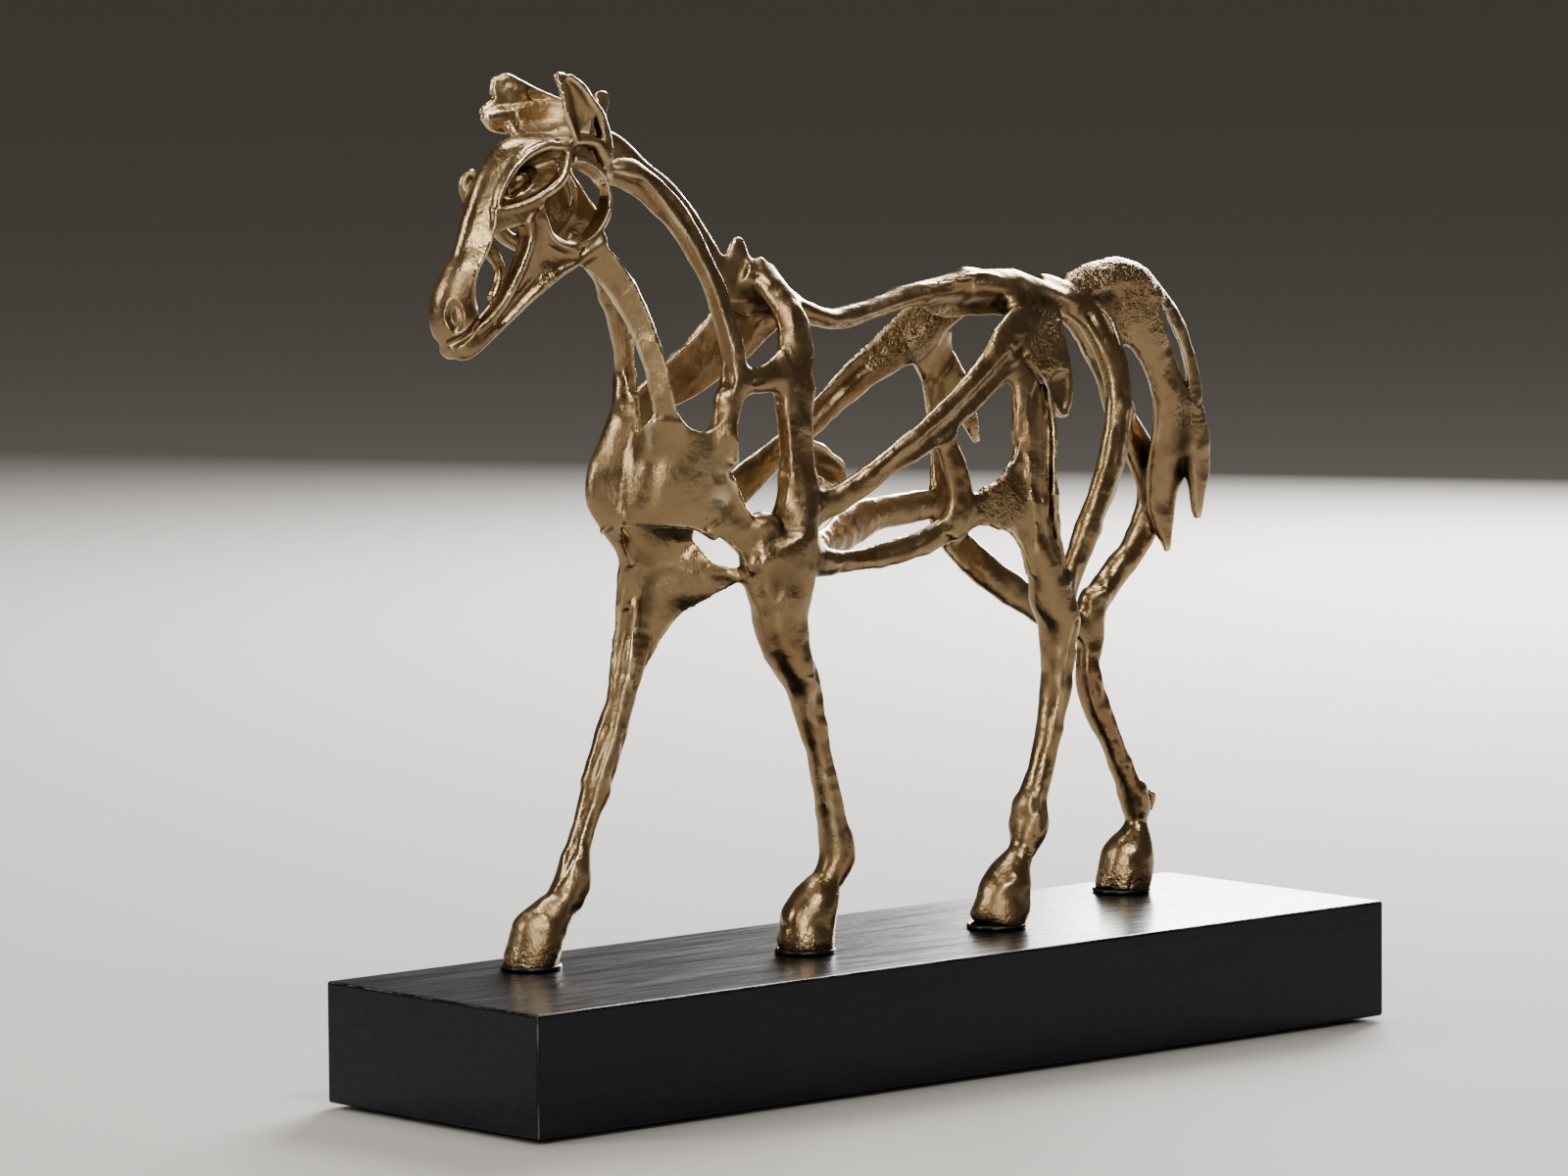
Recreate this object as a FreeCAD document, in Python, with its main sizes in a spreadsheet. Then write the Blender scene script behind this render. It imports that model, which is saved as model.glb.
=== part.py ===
import FreeCAD, Part
import os

import Sketcher

doc = FreeCAD.newDocument("bronze_horse")

# ---- sizes, millimetres -------------------------------------------------
sheet = doc.addObject("Spreadsheet::Sheet", "dims")
SIZES = [
    ("plinth_length", 457),
    ("plinth_width", 128),
    ("plinth_height", 48),
    ("plinth_edge", 1.2),
    ("pad_radius", 9),
    ("pad_thickness", 2),
    ("pad_inset", 22),
    ("midline", 11),
    ("cast_scale", 1),
    ("bead_radius", 11.2),
    ("bead_wire", 1),
    ("stud_radius", 3),
    ("stud_hole", 3.3),
    ("stud_grip", 9),
    ("counterbore_radius", 9),
    ("counterbore_depth", 10),
    ("washer_radius", 7),
    ("washer_thickness", 1.6),
    ("nut_radius", 5.7),
    ("nut_height", 5),
]
for row, (alias, value) in enumerate(SIZES, start=1):
    sheet.set("A%d" % row, alias)
    sheet.set("B%d" % row, str(value))
    sheet.setAlias("B%d" % row, alias)
doc.recompute()
SIZE = dict(SIZES)

nodes = []


def keep(obj, label):
    """Mark an object as a finished node of the assembly."""
    obj.Label = label
    nodes.append(obj)
    return obj


def bind(obj, **expressions):
    """Bind properties to the sheet; double underscores stand for dots."""
    for name, text in expressions.items():
        obj.setExpression(name.replace("__", "."), text)
    return obj


# ---- plinth -------------------------------------------------------------
# hoof centres on the deck: x, offset from the horse's middle plane
HOOVES = [
    ("far_fore", -150, 22),
    ("near_fore", -43, -20),
    ("near_hind", 60, -21),
    ("far_hind", 171, 21.5),
]


def rectangle(sketch, half_x, half_y):
    """Draw a centred rectangle, constrained to sheet sizes."""
    corners = [(-1, -1), (1, -1), (1, 1), (-1, 1)]
    points = [FreeCAD.Vector(sx * half_x, sy * half_y, 0) for sx, sy in corners]
    for i in range(4):
        sketch.addGeometry(Part.LineSegment(points[i], points[(i + 1) % 4]), False)
    for i in range(4):
        sketch.addConstraint(Sketcher.Constraint("Coincident", i, 2, (i + 1) % 4, 1))
    for i in (0, 2):
        sketch.addConstraint(Sketcher.Constraint("Horizontal", i))
    for i in (1, 3):
        sketch.addConstraint(Sketcher.Constraint("Vertical", i))
    sketch.addConstraint(Sketcher.Constraint("Symmetric", 0, 1, 1, 2, -1, 1))
    long_side = sketch.addConstraint(Sketcher.Constraint("DistanceX", 0, 1, 0, 2, 2 * half_x))
    short_side = sketch.addConstraint(Sketcher.Constraint("DistanceY", 1, 1, 1, 2, 2 * half_y))
    sketch.setExpression("Constraints[%d]" % long_side, "dims.plinth_length")
    sketch.setExpression("Constraints[%d]" % short_side, "dims.plinth_width")


def round_pockets(body, name, radius_word, height_expression, spots, depth_word, reverse):
    """Cut one round pocket per spot, from a plane at the given height."""
    sketch = body.newObject("Sketcher::SketchObject", name + "_sketch")
    sketch.setExpression("Placement.Base.z", height_expression)
    radius = SIZE[radius_word]
    for i, (x, y) in enumerate(spots):
        circle = Part.Circle(FreeCAD.Vector(x, y, 0), FreeCAD.Vector(0, 0, 1), radius)
        sketch.addGeometry(circle, False)
        where = sketch.addConstraint(Sketcher.Constraint("Radius", i, radius))
        sketch.setExpression("Constraints[%d]" % where, "dims." + radius_word)
    pocket = body.newObject("PartDesign::Pocket", name)
    pocket.Profile = sketch
    pocket.Reversed = reverse
    if depth_word:
        pocket.setExpression("Length", "dims." + depth_word)
    else:
        pocket.setExpression("Length", "dims.plinth_height + 1")
    return pocket


body = doc.addObject("PartDesign::Body", "plinth_body")
base = body.newObject("Sketcher::SketchObject", "plinth_sketch")
base.setExpression("Placement.Base.z", "dims.pad_thickness")
rectangle(base, SIZE["plinth_length"] / 2, SIZE["plinth_width"] / 2)
block = body.newObject("PartDesign::Pad", "plinth_block")
block.Profile = base
block.setExpression("Length", "dims.plinth_height")
doc.recompute()
rounded = body.newObject("PartDesign::Fillet", "plinth_rounding")
rounded.Base = (block, ["Edge%d" % (i + 1) for i in range(len(block.Shape.Edges))])
rounded.setExpression("Radius", "dims.plinth_edge")
doc.recompute()
spots = [(x, SIZE["midline"] + w) for _, x, w in HOOVES]
round_pockets(body, "counterbores", "counterbore_radius", "dims.pad_thickness", spots,
              "counterbore_depth", True)
round_pockets(body, "stud_holes", "stud_hole", "dims.pad_thickness", spots, None, True)
keep(body, "plinth")


def group(label, parts):
    """One node made of several separate solids."""
    compound = doc.addObject("Part::Compound", label)
    compound.Links = parts
    return keep(compound, label)


def cylinder(name, radius, height, x, y, z):
    """A sheet-bound upright cylinder; every size is an expression."""
    obj = doc.addObject("Part::Cylinder", name)
    return bind(obj, Radius=radius, Height=height, Placement__Base__x=x,
                Placement__Base__y=y, Placement__Base__z=z)


pads = []
for i, (sx, sy) in enumerate([("-", "-"), ("", "-"), ("", ""), ("-", "")]):
    pads.append(cylinder("pad_%d" % i, "dims.pad_radius", "dims.pad_thickness",
                         sx + "1 * (dims.plinth_length / 2 - dims.pad_inset)",
                         sy + "1 * (dims.plinth_width / 2 - dims.pad_inset)", "0"))
group("foot_pads", pads)

# ---- studs, washers, nuts and beads under the hooves --------------------
studs, washers, nuts, beads, stud_tools = [], [], [], [], {}
for hoof, x, w in HOOVES:
    at_x = "%s" % x
    at_y = "dims.midline + %s" % w
    seat = "dims.pad_thickness + dims.counterbore_depth"
    low = seat + " - dims.washer_thickness - dims.nut_height - 1"
    length = ("dims.plinth_height - dims.counterbore_depth + dims.washer_thickness"
              " + dims.nut_height + 1 + dims.stud_grip")
    studs.append(cylinder(hoof + "_stud", "dims.stud_radius", length, at_x, at_y, low))
    stud_tools[hoof] = cylinder(hoof + "_stud_tool", "dims.stud_radius", length, at_x, at_y, low)
    disc = cylinder(hoof + "_washer_disc", "dims.washer_radius", "dims.washer_thickness",
                    at_x, at_y, seat + " - dims.washer_thickness")
    eye = cylinder(hoof + "_washer_eye", "dims.stud_hole", "dims.washer_thickness",
                   at_x, at_y, seat + " - dims.washer_thickness")
    washer = doc.addObject("Part::Cut", hoof + "_washer")
    washer.Base = disc
    washer.Tool = eye
    washers.append(washer)
    prism = doc.addObject("Part::Prism", hoof + "_nut_hex")
    bind(prism, Circumradius="dims.nut_radius", Height="dims.nut_height",
         Placement__Base__x=at_x, Placement__Base__y=at_y,
         Placement__Base__z=seat + " - dims.washer_thickness - dims.nut_height")
    thread = cylinder(hoof + "_nut_thread", "dims.stud_radius", "dims.nut_height", at_x, at_y,
                      seat + " - dims.washer_thickness - dims.nut_height")
    nut = doc.addObject("Part::Cut", hoof + "_nut")
    nut.Base = prism
    nut.Tool = thread
    nuts.append(nut)
    ring = doc.addObject("Part::Torus", hoof + "_bead")
    bind(ring, Radius1="dims.bead_radius", Radius2="dims.bead_wire", Placement__Base__x=at_x,
         Placement__Base__y=at_y,
         Placement__Base__z="dims.pad_thickness + dims.plinth_height + dims.bead_wire")
    beads.append(ring)
group("hoof_studs", studs)
group("stud_washers", washers)
group("stud_nuts", nuts)
group("hoof_beads", beads)

# ---- cast straps --------------------------------------------------------
ACROSS = FreeCAD.Vector(0, 1, 0)
ALONG = FreeCAD.Vector(1, 0, 0)
UP = FreeCAD.Vector(0, 0, 1)
FACING = FreeCAD.Vector(0.66, 0.74, 0)
PROW = FreeCAD.Vector(0.94, -0.34, 0)
BROW = FreeCAD.Vector(-0.7, 0, 0.7)


def strap(name, flat, stations, order="ZYX"):
    """Loft one casting through ellipse stations.

    A station is x, offset from the middle plane, height over the deck,
    half width, half thickness. The thin way of the section looks along the
    flat direction. With order ZXY the wide way does.
    """
    sections = []
    last = len(stations) - 1
    points = [FreeCAD.Vector(s[0], s[1], s[2]) for s in stations]
    for i, (x, w, h, wide, thick) in enumerate(stations):
        ahead = points[min(i + 1, last)] - points[max(i - 1, 0)]
        ellipse = doc.addObject("Part::Ellipse", "%s_s%d" % (name, i))
        ellipse.MajorRadius = 60
        ellipse.MinorRadius = 0.1
        turn = FreeCAD.Rotation(flat, flat, ahead, order)
        ellipse.Placement = FreeCAD.Placement(FreeCAD.Vector(x, w, h), turn)
        bind(ellipse, MajorRadius="%s * dims.cast_scale" % max(wide, thick + 0.01),
             MinorRadius="%s * dims.cast_scale" % thick,
             Placement__Base__y="dims.midline + %s" % w,
             Placement__Base__z="dims.pad_thickness + dims.plinth_height + %s" % h)
        sections.append(ellipse)
    loft = doc.addObject("Part::Loft", name)
    loft.Sections = sections
    loft.Solid = True
    loft.Ruled = False
    return loft


def carved(name, solid, *tools):
    """A casting with grooves or seats cut out of it, as one node."""
    for i, tool in enumerate(tools):
        cut = doc.addObject("Part::Cut", "%s_cut%d" % (name, i))
        cut.Base = solid
        cut.Tool = tool
        solid = cut
    return keep(solid, name)


def plain(name, flat, stations, order="ZYX"):
    """A casting that is a single loft."""
    return keep(strap(name, flat, stations, order), name)


# head
plain("muzzle", ALONG, [
    (-200, 0, 284, 6.5, 3), (-203, 0, 274, 8.4, 6.2), (-205, 0, 264, 9.6, 8.6),
    (-203.5, 0, 255.5, 9.2, 8.4), (-200, 0, 249.5, 7, 6), (-198, 0, 247, 3.5, 2.8)])
plain("face_plate", BROW, [
    (-147, 0, 322.5, 9, 2.5), (-158, 0, 324, 13, 3.5), (-168.5, 0, 321.5, 14, 4), (-177, 0, 315.5, 13.5, 4.5),
    (-184.5, 0, 305, 12.5, 4.5), (-191, 0, 295, 11, 4.5), (-196, 0, 282, 9.5, 4.5),
    (-201, 0, 270, 8.5, 4)])
EYE_SOCKET = [
    (-157, 0, 322, 2.6, 2.2), (-163, 0, 320.5, 6, 2.8), (-171, 0, 316, 7.5, 3), (-179, 0, 310, 5.5, 2.8),
    (-185, 0, 305.5, 2, 1.6)]
eyes, jaw_bars, jaw_plates, cheek_bridges = [], [], [], []
for side_name, sign in (("near", -1), ("far", 1)):
    inset = 2 + 2 * sign
    socket_rim = strap(side_name + "_eye_rim", ACROSS, [
        (-151 + inset, 12.5 * sign, 321, 4.5, 2.5), (-160 + inset, 13 * sign, 317.5, 8.5, 2.8),
        (-169.5 + inset, 13 * sign - inset / 4, 313.5, 10, 3),
        (-178 + inset, 11.5 * sign - inset / 2, 308.5, 9.5, 3),
        (-186 + inset, 8.5 * sign - inset / 2, 301, 7, 2.6)])
    hollow = strap(side_name + "_eye_hollow", ACROSS, [
        (x, 15.5 * sign + w, h, a, b) for x, w, h, a, b in EYE_SOCKET])
    carved(side_name + "_eye_plate", socket_rim, hollow)
    eyes.append(strap(side_name + "_eye", ACROSS, [
        (-170, 11.5 * sign, 315, 1.5, 1), (-173, 13.2 * sign, 314, 3.6, 1.8),
        (-177, 12.9 * sign, 312, 3.2, 1.7), (-180, 11 * sign, 310.5, 1.2, 0.8)]))
    plain(side_name + "_cheek_ring", ACROSS, [
        (-157, 12 * sign, 316, 3.5, 2.6), (-148, 12 * sign, 319, 3.4, 2.6),
        (-141.5, 12 * sign, 314.5, 3.2, 2.6), (-138, 12.5 * sign, 307, 3.2, 2.6),
        (-137.5, 13 * sign, 299, 3.2, 2.6), (-141.5, 13 * sign, 291, 3.4, 2.7),
        (-149, 13.5 * sign, 286, 4, 3), (-158, 14 * sign, 286, 4, 3),
        (-167, 14 * sign, 290, 4, 2.8), (-172, 13.5 * sign, 298, 4, 2.6),
        (-172, 13 * sign, 306, 3.5, 2.4), (-168, 12.5 * sign, 311, 3, 2.2)], "ZXY")
    jaw_bars.append(strap(side_name + "_jaw_bar", ACROSS, [
        (-170, 13 * sign, 297, 4, 2.6), (-176, 12.5 * sign, 290, 4, 2.6),
        (-179, 11.5 * sign, 281, 3.6, 2.4), (-184, 10 * sign, 270, 3.4, 2.3),
        (-190, 8.5 * sign, 260, 3.4, 2.3), (-197, 7 * sign, 253, 4, 2.6)]))
    jaw_plates.append(strap(side_name + "_jaw_plate", ACROSS, [
        (-147, 11.5 * sign, 287, 5, 2), (-156, 10.5 * sign, 283, 6.5, 2.2),
        (-166, 9.5 * sign, 276.5, 7.5, 2.3), (-177, 8 * sign, 268, 6.8, 2.2),
        (-187, 6 * sign, 259, 5, 2.2), (-196, 4 * sign, 251, 3.8, 2.4)]))
    cheek_bridges.append(strap(side_name + "_cheek_bridge", ACROSS, [
        (-192, 7.5 * sign, 297, 5.5, 2.4), (-184, 10.5 * sign, 294, 5, 2.4),
        (-176, 12.5 * sign, 295, 5.5, 2.6), (-169, 13.2 * sign, 297, 5, 2.6)]))
group("eyes", eyes)
group("jaw_bars", jaw_bars)
group("jaw_plates", jaw_plates)
group("cheek_bridges", cheek_bridges)
plain("far_cheek_web", ACROSS, [
    (-172, 11.5, 300, 8, 1.6), (-165, 12.5, 298, 12, 1.6), (-157, 12.5, 295, 10, 1.6),
    (-149, 12.5, 291, 5, 1.6)])

# ears, forelock and poll
ear = strap("near_ear_leaf", FACING, [
    (-153, -12.5, 322, 2.6, 2.4), (-153, -14, 329, 5, 3), (-153.5, -15, 337, 6.8, 3.4),
    (-155.5, -15, 344, 5.6, 3), (-159, -14.5, 349.5, 3.6, 2), (-163, -14, 353, 1.8, 1)])
ear_hollow = strap("near_ear_hollow", FACING, [
    (-156, -17, 326, 1.4, 1.2), (-156, -18, 331, 3.6, 2.6), (-156.5, -19, 338, 5.2, 3),
    (-158.5, -18.6, 344, 4, 2.4), (-162, -17, 349, 2.4, 1.4)])
carved("near_ear", ear, ear_hollow)
far_leaf = strap("far_ear_leaf", ACROSS, [
    (-146, 11, 331, 6, 4), (-151, 13, 336, 6.5, 4.5), (-156, 14.5, 341, 6, 4.2),
    (-161, 16, 346, 4.8, 3.4), (-165, 17, 350.5, 2.8, 1.8)])
far_hollow = strap("far_ear_hollow", ACROSS, [
    (-149, 7.5, 328, 4, 3), (-154, 8.5, 332.5, 5, 3.6), (-159, 10, 337, 4.6, 3.2),
    (-164, 11.5, 342, 3, 2.2)])
carved("far_ear", far_leaf, far_hollow)
plain("forelock", ACROSS, [
    (-150, 3, 333, 8, 3), (-158, 5, 335, 9, 3.4), (-167, 7, 338, 6.5, 3.4), (-175, 8, 339, 5, 3.2),
    (-181, 8.5, 338, 3.6, 2), (-183.5, 9, 337, 1.8, 1)])
plain("forelock_stem", ALONG, [
    (-166, 6, 322, 4, 3), (-167, 6.5, 328, 3.4, 2.6), (-166, 7, 335, 4, 3)])
plain("poll_cap", UP, [
    (-151, 2, 322, 10, 3), (-145, 2, 329, 11, 4.5), (-139, 1, 334, 10, 4.5), (-133, 0, 334, 7, 3)])
plain("poll_loop", ACROSS, [
    (-141, -8, 333, 2.4, 2), (-138, -7, 339.5, 2.2, 1.9), (-134.5, -6, 343, 2.2, 1.8),
    (-131.5, -5.5, 339.5, 2.2, 1.8), (-132, -6, 333, 2.2, 2), (-133, -7, 325, 2.2, 2.2),
    (-132, -8, 316, 2.6, 2.4), (-134, -11, 308, 2.6, 2.4)], "ZXY")

# neck
plain("near_crest", FACING, [
    (-136, -8, 313.5, 4, 3.6), (-128, -8, 313.5, 6, 5), (-115, -9, 308.5, 6.2, 5.2), (-107, -10, 301.5, 5.8, 5),
    (-94.5, -13, 286, 4.8, 4.4), (-85.5, -16, 268.5, 4.6, 4.2), (-81, -19, 251.5, 4.4, 4),
    (-78.8, -21, 231.5, 4.6, 4), (-83, -22, 219.5, 5.2, 3.8), (-86.5, -22.5, 208, 5.6, 3.4),
    (-86, -22.5, 197, 6, 3.2)])
plain("mane_blade", ACROSS, [
    (-134, 0, 328, 3, 2), (-125, 1, 324, 5.5, 2.2), (-114, 1.5, 316.5, 6.5, 2.2), (-101, 2, 306.5, 7, 2.2),
    (-87, 2, 294.5, 7, 2.2), (-74, 2, 279, 6.5, 2.2), (-62, 2, 265, 6, 2.4), (-50, 2, 257, 5, 2.6)])
tuft_front = strap("mane_tuft_front", ACROSS, [
    (-57, 2, 260, 8, 3), (-56.5, 2, 269, 7.4, 2.6), (-56.8, 2, 277, 5.8, 2.2), (-57, 2, 282, 3.6, 1.6),
    (-57, 2, 284.5, 1.4, 0.8)])
tuft_rear = strap("mane_tuft_rear", ACROSS, [
    (-41.5, 0, 258, 6, 2.8), (-43, -0.5, 265, 5, 2.4), (-45.5, -1, 271, 3.4, 1.8), (-48, -1, 276, 1.3, 0.9)])
group("mane_tufts", [tuft_front, tuft_rear])
plain("near_throat_ribbon", FACING, [
    (-145, -11, 284, 5, 2), (-132.5, -12, 272.5, 5.6, 2.2), (-124, -15, 257, 5.4, 2.2),
    (-118.5, -18, 239.5, 5.2, 2.2), (-116, -20, 222, 5.4, 2.2), (-113.5, -21, 207, 6.5, 2.2)])
plain("far_throat_ribbon", FACING, [
    (-140, 9, 287, 4, 2), (-128, 8.5, 280, 4.8, 2.2), (-117.5, 10, 267, 4.6, 2.2), (-109, 12, 249, 4.6, 2.2),
    (-103.5, 15, 229.5, 4.6, 2.2), (-101, 17, 209, 5.4, 2.2)])

# chest: an open shell, two bent panels meeting in a crease at the midline
near_panel = strap("chest_near_panel", FACING, [
    (-101, -11, 217, 15, 2), (-101, -11.5, 210, 19.5, 2.6), (-101.5, -11, 200, 21, 2.8),
    (-101.5, -11, 190, 21.5, 2.8), (-101, -10.5, 181, 22, 2.8), (-100, -9.5, 174, 19, 2.4)])
far_panel = strap("chest_far_panel", PROW, [
    (-111, 8, 215, 11, 2), (-115, 9, 206, 13.5, 2.8), (-117.5, 10, 197, 14.5, 3),
    (-118.5, 10.5, 189, 15, 3), (-118.5, 10.5, 180, 14.5, 3), (-115, 12, 171, 12, 2.8),
    (-107, 15, 160, 8, 2.4)])
fused = doc.addObject("Part::MultiFuse", "chest_panels")
fused.Shapes = [near_panel, far_panel]
keep(fused, "chest_shell")
plain("chest_side_strap", ACROSS, [
    (-84, -20.5, 207, 5, 2.6), (-85, -21.5, 196, 5, 2.6), (-84, -22.5, 185, 5, 2.6), (-80, -22.5, 176, 5.5, 3),
    (-72, -22, 168, 6, 3.4), (-62, -21, 162, 7, 4)])
plain("brisket", UP, [
    (-92, 12, 162, 7, 4), (-82, 9, 157, 8, 3.4), (-71, 4, 155, 9, 3.2), (-61, -6, 156, 9, 3.2),
    (-56, -14, 158, 7, 4)])

# shoulders
plain("near_shoulder_bridge", ACROSS, [
    (-82, -21, 229, 5.5, 3), (-73, -22, 229.5, 5, 2.8), (-64, -22, 230.5, 5.6, 2.8), (-53, -21.5, 233.5, 7.5, 3)])
near_blade = strap("near_shoulder_blade", ALONG, [
    (-55, 0, 271, 5, 4), (-48, -3, 267.5, 6.5, 4.4), (-43, -8, 260, 7.5, 4.4), (-41.5, -14, 248.5, 8, 4.4),
    (-45, -19, 237, 9, 4.6), (-48, -22, 224, 9.5, 4.8), (-49, -23, 209, 8.5, 4.8), (-48, -23, 193, 8.5, 4.8),
    (-48, -22, 177, 9.5, 5), (-51, -21, 162, 12, 6)], "ZXY")
blade_groove = strap("near_shoulder_groove", ACROSS, [
    (-50, -26, 243, 2, 1.5), (-52, -28.5, 230, 4.4, 3), (-53, -29.5, 215, 4.6, 3.2), (-53, -30, 199, 4.6, 3.2),
    (-52, -29.5, 184, 4.4, 3), (-53, -28, 170, 2, 1.5)])
carved("near_shoulder", near_blade, blade_groove)
plain("far_shoulder", ACROSS, [
    (-35, -1, 266, 9, 2.6), (-42, 2, 258, 12, 2.4), (-49, 8, 249, 12.5, 2.4), (-56, 13, 240, 11, 2.4),
    (-64, 17, 232, 9, 2.4), (-75, 19, 225.5, 7.5, 2.4), (-92, 20, 215, 6, 2.4), (-102, 19, 209, 5, 2.2)])
plain("elbow_leaf", ACROSS, [
    (-42, -20, 200, 5, 2.4), (-34, -18, 198.5, 7, 2.6), (-22, -10, 193, 8.5, 2.6), (-8, -2, 189, 7.5, 2.4),
    (0, 2, 187, 3, 1.4)])

# back, ribs and belly
plain("back_bar", UP, [
    (-44, -4, 262, 5, 3.6), (-35, -3, 257.5, 5.4, 4), (-24, -2, 253.5, 5.4, 4), (-9, 0, 250, 5.6, 4),
    (13, 0, 253, 5.6, 4.2), (37, 0, 257.5, 6, 4.4), (58, 0, 259.5, 7.5, 5.5), (70, 0, 259.5, 9, 6.5)])
plain("croup_plate", UP, [
    (62, 0, 259.5, 9, 6), (75, -1, 259, 12, 6.8), (88, -2, 258, 13, 6.3), (100, -2, 255.5, 12.5, 5.2),
    (112, -1, 251.5, 10, 4.6), (122, 0, 251.5, 7, 3.8)])
plain("far_flank_bar", ACROSS, [
    (68, 3, 256, 6, 3), (60, 13, 249, 10, 3.2), (44, 23, 234, 9.5, 3.2), (24, 27, 220.5, 7.2, 3),
    (5, 26.5, 208, 6, 3), (-13, 24, 198, 6, 3), (-28, 22.5, 190, 7, 3), (-42, 21, 183, 8, 3),
    (-48, 20, 180.5, 8, 3)])
plain("far_rib", ACROSS, [
    (55, 16, 244, 11, 2.6), (66, 22, 234, 12, 2.6), (73, 27, 221, 9, 2.6), (75, 28.5, 206, 6, 2.5),
    (76, 29, 188, 4.6, 2.4), (77, 28.5, 172, 5.5, 2.5), (84, 26.5, 156, 6.5, 2.6)])
plain("far_rib_tip", ACROSS, [
    (75, 25, 223, 8, 2.4), (86, 27.5, 212, 7, 2.4), (93, 29, 202, 4.6, 2), (97, 29, 192, 2, 1.2)])
plain("far_belly_bar", ACROSS, [
    (84, 28, 168, 5, 2.6), (72, 27, 169, 6, 2.8), (54, 22, 169, 6.4, 3), (28, 14, 168.5, 7, 3.2),
    (2, 3, 165, 8.4, 3.4), (-18, -8, 163, 6.4, 3.4), (-32, -15.5, 161.5, 5, 3), (-46, -20, 163, 5.5, 3.4)])
plain("near_flank_bar", ACROSS, [
    (90, -14, 250, 8, 3), (81, -18.5, 242.5, 11, 3.4), (68, -22, 235, 12, 3.4), (56, -24, 227.5, 9, 3.4),
    (42, -26, 218, 7.5, 3.4), (28, -27, 209.5, 7.5, 3.4), (14, -28, 202, 6.5, 3.2), (0, -28, 195.5, 5.6, 3.2),
    (-20, -26, 184.5, 5.4, 3.2), (-36, -23.5, 177.5, 6, 3.4), (-46, -22, 172, 6, 3.4)])
plain("near_rib", ACROSS, [
    (24, -27, 207, 5, 2.8), (28, -27.5, 199, 5.4, 2.8), (32, -28, 190, 5.6, 2.8), (34.5, -28, 179, 5.8, 2.8),
    (34, -27, 170, 6, 3), (30, -26, 163, 5, 3)])
plain("near_belly_bar", ACROSS, [
    (40, -27.5, 173, 6, 3), (30, -26, 165, 6.2, 3.2), (12, -24.5, 159, 5.2, 3), (-8, -23.5, 156, 4.8, 3),
    (-28, -22.5, 155, 5, 3.2), (-42, -21.5, 156.5, 6, 3.6),
    (-54, -21, 161, 7, 4)])

# hindquarters
haunch = strap("near_thigh_casting", ACROSS, [
    (93, -4, 257, 12, 4), (89, -11, 250, 13.5, 4.2), (84, -18, 238, 14.5, 4.4), (79, -22.5, 225, 11, 4.6),
    (76, -25, 210, 9, 4.8), (75.5, -26, 194, 8.6, 4.8), (76, -26, 178, 8.4, 4.6), (79, -25.5, 162, 7.6, 4.6),
    (86, -24, 144, 8, 5), (93, -22, 128, 8.2, 6)])
haunch_groove = strap("near_thigh_groove", ACROSS, [
    (80, -28.5, 222, 2, 1.5), (75, -31.5, 209, 4.6, 3), (74.5, -32.5, 194, 4.6, 3.2), (75, -32.5, 178, 4.4, 3.2),
    (78, -31.5, 162, 3.6, 2.8), (84, -29, 147, 1.6, 1.2)])
carved("near_thigh", haunch, haunch_groove)
plain("near_hip_lobe", ACROSS, [
    (94, -17, 243, 7, 3), (94.5, -20.5, 232, 8, 3), (95.5, -22.5, 222, 7.5, 2.8), (96, -23.3, 213.5, 5, 2.2),
    (96.5, -23.5, 207.5, 2, 1.2)])
plain("near_flank_web", ACROSS, [
    (36, -27.5, 171, 6, 2.6), (46, -27, 171.5, 6.5, 2.6), (58, -26.5, 174, 8.5, 2.8), (70, -26, 180, 13, 3)])
plain("near_buttock", ALONG, [
    (104, -2, 256, 8, 4), (113, -4, 253, 7.6, 4.4), (122, -8, 246, 6.4, 4.6), (129, -13, 234, 6, 4.6),
    (132, -17, 218, 6, 4.6), (130.5, -19.5, 202, 6, 4.6), (124, -21, 184, 6, 4.6), (115.5, -21.5, 167, 6, 4.6),
    (107, -21.5, 150, 6, 4.8), (99, -21.5, 134, 7, 5.5)], "ZXY")
plain("far_buttock", ACROSS, [
    (119, 4, 251, 5, 3), (132, 8, 242.5, 5, 3), (144, 12, 233, 5, 3), (158, 17, 217, 5.2, 3.2),
    (171, 20, 199, 6.2, 3.6), (183, 21, 182, 7.6, 4), (189, 21, 167, 8, 4.4), (186, 21, 154, 7.2, 4.6),
    (177.5, 21, 143, 6.2, 4.6), (167, 21, 133, 5.4, 4.6), (157.5, 21, 124, 5.2, 4.8)])
plain("far_thigh", ACROSS, [
    (76, 28, 168, 6, 3), (84, 26.5, 151, 7, 3.2), (99, 24, 138.5, 7, 3.4), (119, 22.5, 126, 7, 3.6),
    (137, 21.5, 117, 6, 3.8), (150, 21, 112, 5, 3.6)])
plain("tail_dock", UP, [
    (117, 0, 250.5, 8, 3.8), (128, 1, 254.5, 8.5, 4.6), (141, 1.5, 257.5, 9, 5), (153, 2, 257, 9, 5.4), (163, 2, 253, 8, 5.6)])
plain("tail_outer", ACROSS, [
    (155, 2, 258, 6, 4), (169, 2, 250, 6.6, 4.4), (179.5, 2.5, 241, 6.6, 4.4), (187.5, 3, 229, 6, 4.2),
    (192.5, 3, 215, 5.4, 4), (196, 3, 198, 5.8, 4), (199, 3.5, 182, 5.6, 3.8), (199, 4, 168, 3.8, 3), (199, 4, 156, 1.5, 1.2)])
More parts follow.
